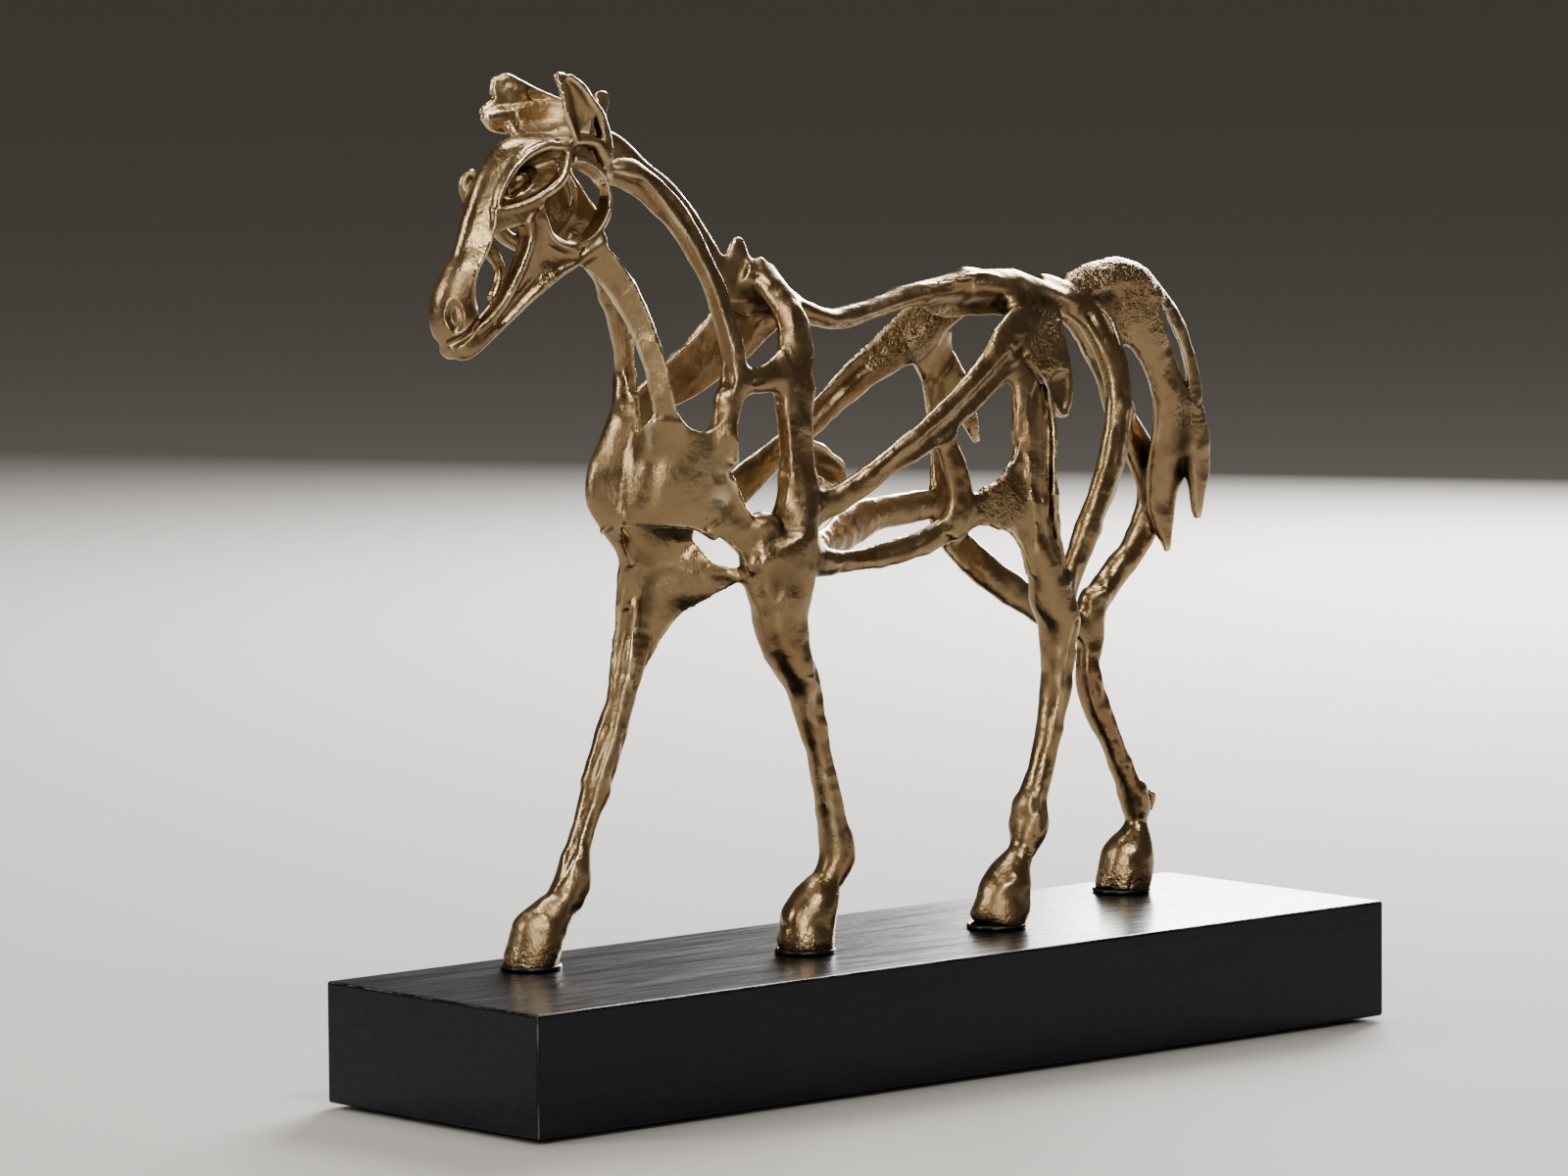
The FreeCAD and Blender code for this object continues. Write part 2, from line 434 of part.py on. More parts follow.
plain("tail_inner", ACROSS, [
    (148, 1, 255, 9, 4), (160, 1.5, 246, 11, 4), (170.5, 2, 233, 9.4, 3.8), (179, 2.5, 218, 6.6, 3.8),
    (184, 4, 202, 8.4, 4), (187, 8, 187, 10.5, 4.4), (187, 12, 172, 9, 4.4), (186.5, 13, 158, 6.4, 3.6),
    (188, 12, 148, 3.6, 2.4), (188.5, 11.5, 142.5, 1.4, 1)])
plain("tail_root", ACROSS, [
    (121, 1, 256, 5, 3.4), (136, 2, 251, 5.5, 3.4), (147, 4, 241, 5.5, 3.2), (155, 8, 228, 5, 3.2),
    (162, 14, 213, 5, 3.4), (170, 18.5, 200, 5.5, 3.4)])

# legs, each one casting down to the hoof
LEGS = {
    "far_fore": [
        (-86, 14, 176, 13, 5), (-91, 16, 165, 12.5, 6), (-95, 17, 152, 10.5, 7), (-97.5, 18, 138, 9, 7),
        (-100, 19, 122, 7.6, 6.4), (-104, 19, 106, 6.2, 5.6), (-109, 19.5, 91, 6.8, 6), (-115.5, 20, 76, 7.2, 6.2),
        (-121, 20, 61, 5.6, 5), (-127, 20, 46, 5.4, 5), (-131, 20, 35, 7, 6), (-136, 20, 27, 7, 6.4),
        (-142.5, 20.5, 20, 9.4, 8.8), (-147.5, 21, 12, 11, 10.4), (-150, 21.8, 5, 11.2, 10.8), (-150.4, 22, 0.6, 10.8, 10.6)],
    "near_fore": [
        (-58, -21, 166, 16, 10), (-58.5, -20.5, 149, 14, 9.5), (-55.5, -20, 132, 11.2, 8.5), (-48.5, -20, 116, 8.8, 7.4),
        (-41.5, -20, 104, 7.6, 6.4), (-37.5, -20, 88, 6, 5.4), (-33.5, -20, 74, 5.4, 5), (-30.5, -20, 61, 5.8, 5.2),
        (-27.5, -20, 49, 6.4, 5.8), (-26.5, -20, 39, 6.4, 5.8), (-29, -20, 31, 5.6, 5.2), (-34, -20, 25, 7.6, 7.2),
        (-39, -20, 17, 10.6, 10), (-41.6, -20, 8, 11.4, 11), (-42.6, -20, 0.6, 10.7, 10.5)],
    "near_hind": [
        (92, -21.5, 139, 9.5, 6), (96.5, -21, 124, 9, 7), (97.5, -20.5, 109, 8.2, 6.6), (95, -20, 96, 7, 6),
        (92.5, -20, 84, 6, 5.4), (88.5, -20, 69, 5.4, 5), (84, -20, 57, 5.8, 5.2), (79.5, -20, 46, 7.8, 6),
        (77, -20, 38, 7.6, 6), (74.5, -20, 30, 6, 5.4), (70, -20, 24, 8, 7.4), (66, -20.5, 15.5, 10.6, 10),
        (62.4, -21, 6, 11.2, 10.8), (60.6, -21, 0.6, 10.7, 10.5)],
    "far_hind": [
        (156.5, 21, 127, 5.4, 4.8), (153, 21, 117, 5.2, 4.8), (151.5, 21, 106, 4.6, 4.4), (151, 21, 96, 5.4, 5),
        (153.5, 21, 86, 6.4, 5.4), (160.5, 21, 72, 5.8, 5), (167, 21, 60, 5.4, 4.8), (173, 21, 48, 5.6, 5),
        (177.5, 21, 38, 5.4, 4.8), (179.5, 21, 29.5, 4.8, 4.6), (178, 21, 23, 7.4, 7), (175, 21.2, 15, 10.8, 10.2),
        (172.6, 21.5, 6, 11.8, 11.2), (171.5, 21.5, 0.6, 11.2, 10.8)],
}
for hoof, stations in LEGS.items():
    limb = strap(hoof + "_casting", ALONG, stations)
    carved(hoof + "_leg", limb, stud_tools[hoof])
plain("far_fore_web", FACING, [
    (-97, 5, 173, 13, 2), (-96, 6, 164, 15, 2), (-94.5, 6.5, 156, 18, 2), (-94, 8, 148, 18, 2),
    (-95.5, 11, 138, 15, 2), (-98, 15, 128, 11.5, 2), (-101, 18, 117, 8, 2), (-104, 20, 105, 5, 2.2)])

# ---- checks and export --------------------------------------------------
doc.recompute()
for obj in doc.Objects:
    state = " ".join(obj.State)
    if "Invalid" in state or "Error" in state:
        raise SystemExit("%s did not compute: %s" % (obj.Name, state))
os.makedirs("parts", exist_ok=True)
for node in nodes:
    if node.Shape.isNull() or not node.Shape.isValid():
        raise SystemExit("%s has no sound shape" % node.Label)
    node.Shape.exportStep("parts/%s.step" % node.Label)
    print("%-22s solids %d  volume %.0f" % (node.Label, len(node.Shape.Solids), node.Shape.Volume))
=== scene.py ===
import math

import bpy
import numpy as np
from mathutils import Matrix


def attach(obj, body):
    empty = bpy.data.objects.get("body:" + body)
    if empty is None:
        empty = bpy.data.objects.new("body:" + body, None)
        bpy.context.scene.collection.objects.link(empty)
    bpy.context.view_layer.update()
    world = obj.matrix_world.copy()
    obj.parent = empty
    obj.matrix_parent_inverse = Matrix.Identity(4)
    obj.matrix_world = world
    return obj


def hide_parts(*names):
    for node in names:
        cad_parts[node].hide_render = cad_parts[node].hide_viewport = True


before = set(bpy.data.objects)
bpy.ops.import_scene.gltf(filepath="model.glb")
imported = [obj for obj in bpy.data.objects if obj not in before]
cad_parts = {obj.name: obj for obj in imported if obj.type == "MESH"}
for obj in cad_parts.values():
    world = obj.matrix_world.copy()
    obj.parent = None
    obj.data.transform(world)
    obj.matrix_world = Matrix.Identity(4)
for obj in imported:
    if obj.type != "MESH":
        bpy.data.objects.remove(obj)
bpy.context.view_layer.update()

import openvdb
from mathutils import Matrix, Vector
from mathutils.kdtree import KDTree

# All the modelling below is in millimetres, in the CAD frame.
MIDLINE = 11.0          # y of the horse's middle plane
DECK = 50.0             # z of the plinth's top
VOXEL = 0.75
BAND = 6.0              # distances are kept this far from the surface
SOLDER = 4.5            # blend radius where two castings meet
MARKS_PER_CASTING = 1200
NOT_CAST = ("plinth", "foot_pads", "hoof_studs", "stud_washers", "stud_nuts", "hoof_beads")
CASTINGS = [name for name in sorted(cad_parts) if name not in NOT_CAST]

# the box of the dense distance field, on whole voxels
LOW = np.array([-224.0, -30.0, 46.0])
HIGH = np.array([216.0, 60.0, 412.0])
BASE = np.floor(LOW / VOXEL).astype(int)
SHAPE = tuple(np.ceil((HIGH - LOW) / VOXEL).astype(int))
LOW = BASE * VOXEL


# ---- distance fields ----------------------------------------------------
def node_mesh(name):
    """Points and triangles of a CAD node, in millimetres."""
    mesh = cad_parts[name].data
    points = np.empty(len(mesh.vertices) * 3, np.float32)
    mesh.vertices.foreach_get("co", points)
    mesh.calc_loop_triangles()
    corners = np.empty(len(mesh.loop_triangles) * 3, np.int32)
    mesh.loop_triangles.foreach_get("vertices", corners)
    return points.reshape(-1, 3) * 1000.0, corners.reshape(-1, 3).astype(np.uint32)


def window(low, high, margin):
    """Index range of the dense field around a box, in voxels."""
    a = np.maximum(np.floor((low - margin - LOW) / VOXEL).astype(int), 0)
    b = np.minimum(np.ceil((high + margin - LOW) / VOXEL).astype(int) + 1, SHAPE)
    return a, b


def box_slices(a, b):
    return tuple(slice(i, j) for i, j in zip(a, b))


def smooth_min(a, b, k):
    """The nearer of two distances, rounded off where they are about equal."""
    h = np.clip(0.5 + 0.5 * (b - a) / k, 0.0, 1.0)
    mixed = b * (1 - h) + a * h - k * h * (1 - h)
    return np.where((a > BAND - 0.05) | (b > BAND - 0.05), np.minimum(a, b), mixed)


def smooth_max(a, b, k):
    return -smooth_min(-a, -b, k)


field = np.full(SHAPE, BAND, np.float32)


def add_closed(spots, k, **faces):
    """Blend a closed mesh of triangles or quads into the field."""
    step = openvdb.createLinearTransform(voxelSize=VOXEL)
    grid = openvdb.FloatGrid.createLevelSetFromPolygons(
        spots, transform=step, halfWidth=BAND / VOXEL, **faces)
    a, b = window(spots.min(0), spots.max(0), BAND)
    local = np.full(tuple(b - a), BAND, np.float32)
    grid.copyToArray(local, ijk=tuple(int(v) for v in a + BASE))
    at = box_slices(a, b)
    field[at] = smooth_min(field[at], local, k)


# Castings whose visible form is sculpted below from scratch.
SCULPTED = ("face_plate", "muzzle", "near_eye_plate", "eyes", "near_cheek_ring", "jaw_bars",
            "jaw_plates", "cheek_bridges", "far_cheek_web", "near_ear", "far_ear", "forelock",
            "forelock_stem", "poll_cap", "poll_loop", "chest_shell", "chest_side_strap",
            "far_fore_web", "brisket", "near_throat_ribbon", "elbow_leaf", "near_hip_lobe")

for name in CASTINGS:
    if name not in SCULPTED:
        spots, corners = node_mesh(name)
        add_closed(spots, SOLDER, triangles=corners)


def place(x, w, h):
    """A point from x, its offset from the midline and its height over the deck."""
    return (x, MIDLINE + w, DECK + h)


def capsule_field(path, at_low, at_high):
    """Distance to a chain of round cones, on the voxels of a window."""
    a, b = window(at_low, at_high, 0)
    axes = [(np.arange(a[i], b[i], dtype=np.float32) * VOXEL + LOW[i]) for i in range(3)]
    x, y, z = np.meshgrid(*axes, indexing="ij", sparse=True)
    best = np.full(tuple(b - a), 99.0, np.float32)
    for (p, r0), (q, r1) in zip(path, path[1:]):
        d = q - p
        long = float(d @ d) or 1e-9
        t = np.clip(((x - p[0]) * d[0] + (y - p[1]) * d[1] + (z - p[2]) * d[2]) / long, 0, 1)
        gap = np.sqrt((x - p[0] - t * d[0]) ** 2 + (y - p[1] - t * d[1]) ** 2
                      + (z - p[2] - t * d[2]) ** 2)
        best = np.minimum(best, gap - (r0 + (r1 - r0) * t))
    return best, box_slices(a, b)


def curve(values, steps):
    """Catmull-Rom points through the rows of an array."""
    ends = np.concatenate([2 * values[:1] - values[1:2], values, 2 * values[-1:] - values[-2:-1]])
    out = []
    for i in range(len(values) - 1):
        p0, p1, p2, p3 = ends[i:i + 4]
        for t in np.arange(steps) / steps:
            out.append(0.5 * (2 * p1 + (p2 - p0) * t + (2 * p0 - 5 * p1 + 4 * p2 - p3) * t * t
                              + (3 * p1 - p0 - 3 * p2 + p3) * t ** 3))
    out.append(values[-1])
    return np.array(out)


def sweep(stations, k=1.5, cut=False):
    """Add a bead of metal, or cut a channel, along stations x, w, h, radius."""
    smooth = curve(np.array([place(x, w, h) + (r,) for x, w, h, r in stations], float), 4)
    path = [(row[:3].astype(np.float32), float(row[3])) for row in smooth]
    reach = smooth[:, 3].max() + (1.0 if cut else 5.0) + k
    local, at = capsule_field(path, smooth[:, :3].min(0) - reach, smooth[:, :3].max(0) + reach)
    if cut:
        field[at] = smooth_max(field[at], -local, k)
    else:
        field[at] = smooth_min(field[at], np.minimum(local, BAND), k)


def cut(stations, k=0.8):
    sweep(stations, k, True)


def flute(aim, offset, radius, stations, k=1.5):
    """Cut a channel beside a run of places, running out at both ends."""
    aim = np.array(aim, float)
    aim = aim / np.linalg.norm(aim) * offset
    last = len(stations) - 1
    cut([(x + aim[0], w + aim[1], h + aim[2], radius * (0.5 if i in (0, last) else 1))
         for i, (x, w, h) in enumerate(stations)], k)


def patch(rows, thick=1.3, k=2.0):
    """Add a curved sheet through a grid of places."""
    grid = np.array([[place(*p) for p in row] for row in rows], float)
    grid = curve(grid, 6)
    grid = curve(grid.transpose(1, 0, 2), 6)
    along = np.gradient(grid, axis=0)
    across = np.gradient(grid, axis=1)
    normal = np.cross(along, across)
    normal /= np.linalg.norm(normal, axis=2)[..., None] + 1e-9
    m, n = grid.shape[:2]
    spots = np.concatenate([(grid + normal * thick).reshape(-1, 3),
                            (grid - normal * thick).reshape(-1, 3)])
    number = np.arange(m * n).reshape(m, n)
    quads = np.stack([number[:-1, :-1], number[1:, :-1], number[1:, 1:], number[:-1, 1:]], -1)
    quads = quads.reshape(-1, 4)
    rim = np.concatenate([number[0, :], number[1:, -1], number[-1, -2::-1], number[-2:0:-1, 0]])
    after = np.roll(rim, -1)
    side = np.stack([rim, after, after + m * n, rim + m * n], 1)
    faces = np.concatenate([quads, quads[:, ::-1] + m * n, side]).astype(np.uint32)
    add_closed(spots.astype(np.float32), k, quads=faces)


TOWARDS_CAMERA = (-0.66, -0.744, 0.1)


def pierce(stations, depth=7):
    """Cut a slit right through, along the line of sight of the main view."""
    dx, dw, dh = TOWARDS_CAMERA
    for step in np.arange(-depth, depth + 0.1, 1.5):
        cut([(x + dx * step, w + dw * step, h + dh * step, r)
             for x, w, h, r in stations], 0.5)


def trim(low, high, near, k=4):
    """Take off whatever stands nearer than an offset, inside a box of places."""
    a, b = window(np.array(place(*low)), np.array(place(*high)), 0)
    at = box_slices(a, b)
    y = np.arange(a[1], b[1], dtype=np.float32) * VOXEL + LOW[1]
    field[at] = smooth_max(field[at], (MIDLINE + near - y)[None, :, None], k)


# ---- head ---------------------------------------------------------------
# the mask: a convex plate from the poll over the forehead down to the muzzle
patch([
    [(-148, -8, 326), (-150, 0, 327), (-148, 8, 326)],
    [(-160, -9.5, 326), (-166, 0, 328), (-160, 9.5, 326)],
    [(-172, -9.5, 322), (-178, 0, 325.5), (-172, 9.5, 322)],
    [(-181, -9, 314.5), (-187, 0, 317), (-181, 9, 314.5)],
    [(-186, -8.5, 306), (-192, 0, 308), (-186, 8.5, 306)],
    [(-189, -8.5, 296), (-197, 0, 297), (-189, 8.5, 296)],
    [(-193, -8, 286), (-201, 0, 286), (-193, 8, 286)],
    [(-199, -7.5, 277), (-206, 0, 276), (-199, 7.5, 277)],
    [(-202, -7, 268), (-210, 0, 267), (-202, 7, 268)]], 2.0)
# muzzle, lips and chin
sweep([(-201, 0, 276, 6.5), (-204, 0, 268, 8.6), (-204, 0, 261, 9.6), (-203, 0, 255, 8.6),
       (-201, 0, 251, 6)], 3)
for side in (-1, 1):
    sweep([(-206, 1.5 * side, 248.5, 3.2), (-202, 3.5 * side, 248.5, 4.2),
           (-196, 5 * side, 252, 4), (-190, 6.5 * side, 256.5, 3)], 1.5)
    cut([(-212, 1.5 * side, 249.5, 1), (-208, 6 * side, 251.5, 2), (-203, 8.6 * side, 255, 2.3),
         (-197.5, 9.2 * side, 260, 2.6)], 0.8)
    cut([(-210.6, 8.6 * side, 266, 3), (-210.6, 8.8 * side, 262, 4.1),
         (-209.4, 9 * side, 258, 3.2)], 0.4)
    sweep([(-206.8, 5.6 * side, 264, 2), (-206.4, 5.8 * side, 260, 2.4)], 0.5)
def both_sides(rows, side):
    """The rows of a sheet given for the far side, on either side of the midline."""
    return [[(x, w * side, h) for x, w, h in row] for row in rows]


for side in (-1, 1):
    # eye socket: floor, rims and the rough lump in it
    patch(both_sides([
        [(-155, 9.5, 324.5), (-168, 5.5, 324), (-181, 4, 317), (-189, 6.5, 304)],
        [(-157, 6.5, 320), (-168, 3.2, 317), (-178, 2.8, 311), (-187, 6.5, 303)],
        [(-160, 12, 313), (-168, 11.8, 307.5), (-178, 10.4, 303), (-187, 9, 301)]], side), 1.2, 1)
    sweep([(-155, 11.5 * side, 323.5, 1.7), (-158.5, 13.8 * side, 317.5, 1.9),
           (-162, 14.4 * side, 312, 2), (-169, 14.2 * side, 307.5, 2),
           (-178.5, 12.4 * side, 303.5, 1.8), (-188, 9.5 * side, 301.5, 1.6)], 1.2)
    sweep([(-155, 11.5 * side, 324.5, 1.6), (-165, 10.8 * side, 325.6, 1.7),
           (-174, 9.8 * side, 322.6, 1.7), (-181.5, 9 * side, 316.4, 1.6),
           (-187, 8.8 * side, 308.5, 1.5), (-189, 9 * side, 302, 1.5)], 1.2)
    sweep([(-170, 5.5 * side, 315.5, 1.8), (-175.5, 6 * side, 312.5, 3.2),
           (-181, 6.4 * side, 309, 2.2)], 2)
    patch(both_sides([
        [(-153, 9, 324), (-146, 8, 325), (-139, 9, 321)],
        [(-153, 9, 319), (-146, 7.5, 318.5), (-139, 9, 315)]], side), 1.3, 1)
    # bridge between socket and mouth window
    patch(both_sides([
        [(-191, 8.5, 302), (-180, 11.5, 303), (-170, 13.8, 307.5)],
        [(-191, 8.5, 297), (-181, 11.6, 299), (-173, 13.6, 301.5)],
        [(-191, 8, 293), (-182, 11, 295), (-176.5, 13.2, 296)]], side), 1.4, 1.5)
    sweep([(-140, 12.5 * side, 289, 1.8), (-150, 12 * side, 281.5, 2),
           (-160, 10.8 * side, 276, 1.8), (-172, 9 * side, 268, 1.8),
           (-184, 7 * side, 258.8, 2), (-193, 5 * side, 252.5, 2.6)], 1)
    # cheek ring: a deep band standing off the cheek
    patch(both_sides([
        [(-153, 13.2, 320.5), (-146, 13.5, 319), (-138.5, 13.5, 314), (-135, 13.8, 306),
         (-136.5, 14, 297.5), (-142, 14, 290.5), (-150, 14, 286.5), (-159, 14, 285.5),
         (-167, 14, 290), (-171, 14, 298)],
        [(-154, 8, 318), (-147.5, 7.5, 316.5), (-140, 7.5, 312), (-136.5, 7.5, 305.5),
         (-138, 7.5, 298.5), (-143.5, 8, 292), (-151, 9, 288), (-159, 11, 287.5),
         (-166, 13, 290.5), (-170.5, 13.6, 298)]], side), 1.3, 1.2)
# near jaw strut: lit ridge and the inner face turned to the window
ridge = [(-176.5, -13.4, 297), (-176, -13, 290.5), (-178, -12.4, 283.5), (-181.5, -11.4, 276),
         (-186.5, -10, 267), (-192, -8.6, 260.5), (-198, -7.4, 256)]
inner = [(-179, -9, 296), (-178.5, -9, 290.5), (-180.5, -8.4, 282.5), (-184, -7.4, 275),
         (-188.6, -6.2, 266.5), (-193.5, -5.4, 260), (-199, -4.5, 256)]
patch([ridge, inner], 1.3, 1.2)
sweep([(x, w, h, 1.6) for x, w, h in ridge], 1)
# near cheek from the strut back to the ring and down to the jaw's lower edge
patch([
    [(-176.5, -13.2, 299), (-173, -13.4, 301), (-170.5, -13.8, 304), (-170.5, -14, 306)],
    [(-176.5, -12.8, 290), (-172, -12, 291), (-168.5, -12.4, 292.5), (-165, -14, 291)],
    [(-180, -11.6, 279.5), (-172, -10, 281), (-163, -10, 283), (-152, -13.2, 284.5)],
    [(-186, -9.8, 268), (-179, -8.6, 270), (-170, -8.6, 273.5), (-156, -11, 278)],
    [(-193, -8, 259), (-188, -7.4, 259), (-181, -7.6, 263), (-170, -9, 269.5)]], 1.4, 1.5)
cut([(-164, -13, 279.5, 1), (-170, -12.6, 275.5, 2.6), (-178, -11.4, 268, 3), (-185, -10, 261, 2.4),
     (-189, -9, 257.5, 1)], 0.6)
cut([(-167, -15.5, 286, 1.4), (-160, -15, 281.5, 3), (-151, -15.4, 281.5, 1.6)], 1.5)
# far cheek plate, seen through the near ring
patch([
    [(-154, 12.5, 314), (-145, 11, 314.5), (-136, 10.5, 315)],
    [(-158, 12.5, 304), (-144, 10.5, 304), (-129, 10.5, 304.5)],
    [(-162, 12, 294), (-144, 9, 295), (-123, 9.5, 297)],
    [(-160, 11, 285), (-145, 9, 285.5), (-128, 9.5, 289)]], 1.2, 1)
patch([
    [(-160, 11.5, 290), (-154, 11.5, 288), (-146, 12, 288)],
    [(-163, 11, 280), (-156, 11, 280), (-147, 12, 283)],
    [(-172, 9.5, 270), (-166, 10, 272.5), (-158, 11, 277)]], 1.3, 1.5)
# far mouth strut with its rough head
sweep([(-188, 7, 294, 2), (-181, 8, 287, 3.2), (-174.5, 8.5, 279.5, 2.4), (-174, 8.5, 274, 2.4),
       (-177, 8, 267.5, 3)], 1.5)
sweep([(-188, 8, 316, 1), (-190.4, 9.6, 312.5, 2), (-190.6, 9.2, 308, 2), (-189, 8.5, 303, 1.2)], 3)

# ears, forelock and poll
sweep([(-157, -11, 325.5, 2), (-149, -12, 327.2, 2.2), (-141.5, -12, 325.5, 2.4),
       (-137, -12, 319, 2.4), (-135, -12.5, 311, 2)], 1.2)
sweep([(-157, 11, 325.5, 2), (-149, 12, 327.2, 2.2), (-141.5, 12, 325, 2.4),
       (-137, 12, 318, 2.4), (-136, 12.5, 310, 2)], 1.2)
patch([
    [(-163.5, -13.5, 353.4), (-160.8, -12.8, 354), (-158.4, -13, 353)],
    [(-162.6, -15, 349), (-156, -11.6, 350), (-150.6, -13.6, 348.6)],
    [(-161.2, -16, 343), (-152.5, -10.2, 344), (-145.4, -12.6, 342.8)],
    [(-160, -16, 337), (-150.5, -9.2, 337), (-142.6, -12, 335.8)],
    [(-156, -14.6, 331), (-149.8, -9.6, 331), (-144, -12, 330)],
    [(-152.6, -13, 326), (-149, -11, 326), (-146, -12, 326)]], 1.1, 1)
sweep([(-156, -13.4, 352.5, 1), (-150, -13.6, 348.2, 1.5), (-144.6, -12.8, 342, 1.9),
       (-139.5, -12, 336, 2.3), (-137, -12, 328, 2.4), (-136.4, -12, 320, 2.5)], 1)
patch([[(-145, -9.5, 338), (-141, -9.5, 337), (-138, -10.5, 334)],
       [(-148, -7.5, 332), (-142, -7, 331), (-137.5, -9, 330)],
       [(-148, -8, 325), (-142, -8, 324.5), (-137, -9.5, 323)]], 1.3, 1)
patch([[(-138.4, -7.6, 345), (-134.8, -6.4, 346), (-131.6, -6, 345.4)],
       [(-138, -8.4, 340.5), (-134.4, -7.4, 341), (-130.8, -6.6, 341.6)],
       [(-138, -9.6, 335.5), (-135.6, -8.8, 335.5), (-133.4, -8.2, 336)]], 1.1, 1)
sweep([(-168, 17, 349.5, 1.8), (-163.5, 16, 350.4, 2.6), (-158, 14.4, 347.6, 2.7),
       (-152, 12, 344.2, 2.7), (-146.5, 9.5, 341.4, 2.8), (-141, 5, 338.6, 3)], 1.2)
patch([[(-169, 16.6, 350.5), (-163.5, 15, 351.5), (-157, 13, 348.5)],
       [(-169.5, 16, 346), (-163.5, 13, 346), (-157, 11.6, 345)],
       [(-168, 15.6, 342), (-162, 13.2, 341), (-155, 11.4, 341)]], 1.3, 1.2)
sweep([(-168.5, 16.8, 350, 1.7), (-169.4, 16.4, 346, 1.8), (-167, 15.4, 342.6, 1.8)], 1)
patch([[(-175.5, 17, 339), (-169, 16, 342), (-161, 14, 342.6), (-152, 11, 341.5)],
       [(-174.5, 15, 336), (-168, 12.4, 337), (-160, 10.4, 337), (-151, 8, 336.5)],
       [(-172, 15, 332.6), (-167, 13.6, 331.4), (-160, 12, 331.4), (-151, 8.4, 332)]], 1.3, 1.5)
sweep([(-175, 16.6, 338.6, 1.4), (-169, 16, 342, 1.9), (-160, 13.6, 342.6, 2.4)], 1.2)
sweep([(-175, 16, 336, 1.4), (-171.6, 15, 332.4, 1.7), (-166, 13.6, 331, 1.7)], 1)
sweep([(-166, 10, 332, 2), (-165, 8, 328, 2.2), (-164, 6, 325, 2.4)], 2)
patch([
    [(-163, 11.5, 340), (-154, 9.5, 341.5), (-146, 7, 340.5), (-140, 2, 338)],
    [(-162.5, 10, 334), (-153.5, 7.5, 334), (-146.5, 3, 333), (-141, -3, 332)],
    [(-164.5, 7, 327), (-156, 4, 327), (-149, -1, 326), (-143, -6, 325)]], 1.4, 1.5)
patch([[(-150, -9, 326.5), (-150, 0, 328), (-150, 9, 326.5)],
       [(-142, -9, 326), (-141, 0, 330), (-142, 9, 325.5)],
       [(-135, -8, 322), (-133, 0, 327), (-135, 8, 321)]], 1.8, 2)

# ---- chest --------------------------------------------------------------
# the far foreleg opens forward into the web, so its front is hollowed first
cut([(-90, 0, 178, 9), (-93, 0.5, 165, 9.5), (-95, 1.5, 152, 9.5), (-97, 4.5, 138, 9),
     (-99.5, 8, 122, 5.5), (-102, 12, 110, 1.5)], 2)
patch([
    [(-111.5, 0, 210), (-115, -9, 213), (-117.5, -15, 216.5), (-108.5, -19, 216),
     (-100.5, -19.5, 212.5), (-93.5, -20.5, 211), (-87, -22, 215)],
    [(-114.5, 0, 201), (-114.5, -7, 202), (-112.5, -12.5, 203), (-106, -17, 204),
     (-98.5, -19.5, 204), (-91.5, -21.5, 204), (-84, -22.5, 206)],
    [(-117, 0, 191), (-116, -7, 191.5), (-112.5, -13, 192), (-105.5, -17, 192.5),
     (-97, -19.5, 193), (-89, -21.5, 194), (-83, -22.8, 195)],
    [(-118.4, 0, 182), (-116.5, -6.5, 182), (-112.5, -12, 182), (-105.5, -15.5, 182.5),
     (-96.5, -18.5, 183), (-87, -21, 184), (-78.5, -22.5, 184.5)],
    [(-118.8, 0, 176.5), (-116.5, -5, 176), (-112, -10, 175.5), (-104.5, -13.5, 175.5),
     (-95.5, -16.5, 174.5), (-84.5, -19.5, 173.5), (-73, -22, 176)]], 1.5, 2.5)
patch([
    [(-91, -17.5, 171.5), (-84.5, -19.5, 177), (-79, -22.5, 184)],
    [(-84, -18.5, 168.5), (-77.5, -21, 172.5), (-72.5, -22.4, 176.5)],
    [(-77, -20, 162), (-70, -22, 166.5), (-64, -22.5, 171.5)],
    [(-73, -20.5, 154), (-65, -22, 161), (-56, -22, 169.5)]], 2.2, 3)
sweep([(-83.5, -22.8, 200, 1.6), (-84.5, -23, 194, 1.5), (-80, -23, 187, 1.5),
       (-76, -23, 178.5, 1.6), (-68, -23, 173, 1.8), (-58, -22.5, 170.5, 2)], 1.5)
patch([
    [(-103, 11.5, 233), (-104.5, 13, 234), (-106, 15.5, 234), (-106, 18.5, 234)],
    [(-105, 8, 222), (-108, 10, 223), (-109.5, 14, 224), (-107, 18.5, 224)],
    [(-110.5, 1, 213), (-114, 7, 215), (-113.8, 13, 216), (-106, 18, 216)],
    [(-114.3, 0, 201), (-118, 8, 203.5), (-117.5, 15, 205), (-108, 21, 205)],
    [(-116, 0, 195), (-121, 8, 197), (-122, 15, 198), (-110, 23.5, 198)],
    [(-117.2, 0, 189), (-122.6, 8, 190), (-124, 15, 190), (-110, 24.5, 190)],
    [(-118.4, 0, 182), (-122.8, 8, 182.5), (-123.4, 15, 182.5), (-110, 24, 182)],
    [(-118.8, 0, 176.5), (-120, 7, 175.5), (-119, 13.5, 174.5), (-106, 22, 174)],
    [(-112, 8, 169), (-113, 11, 168.5), (-112, 15, 167.5), (-102, 21, 166)],
    [(-105, 11, 159), (-105.5, 13, 159), (-104.5, 16, 158.5), (-97, 20, 157)]], 1.5, 2.5)
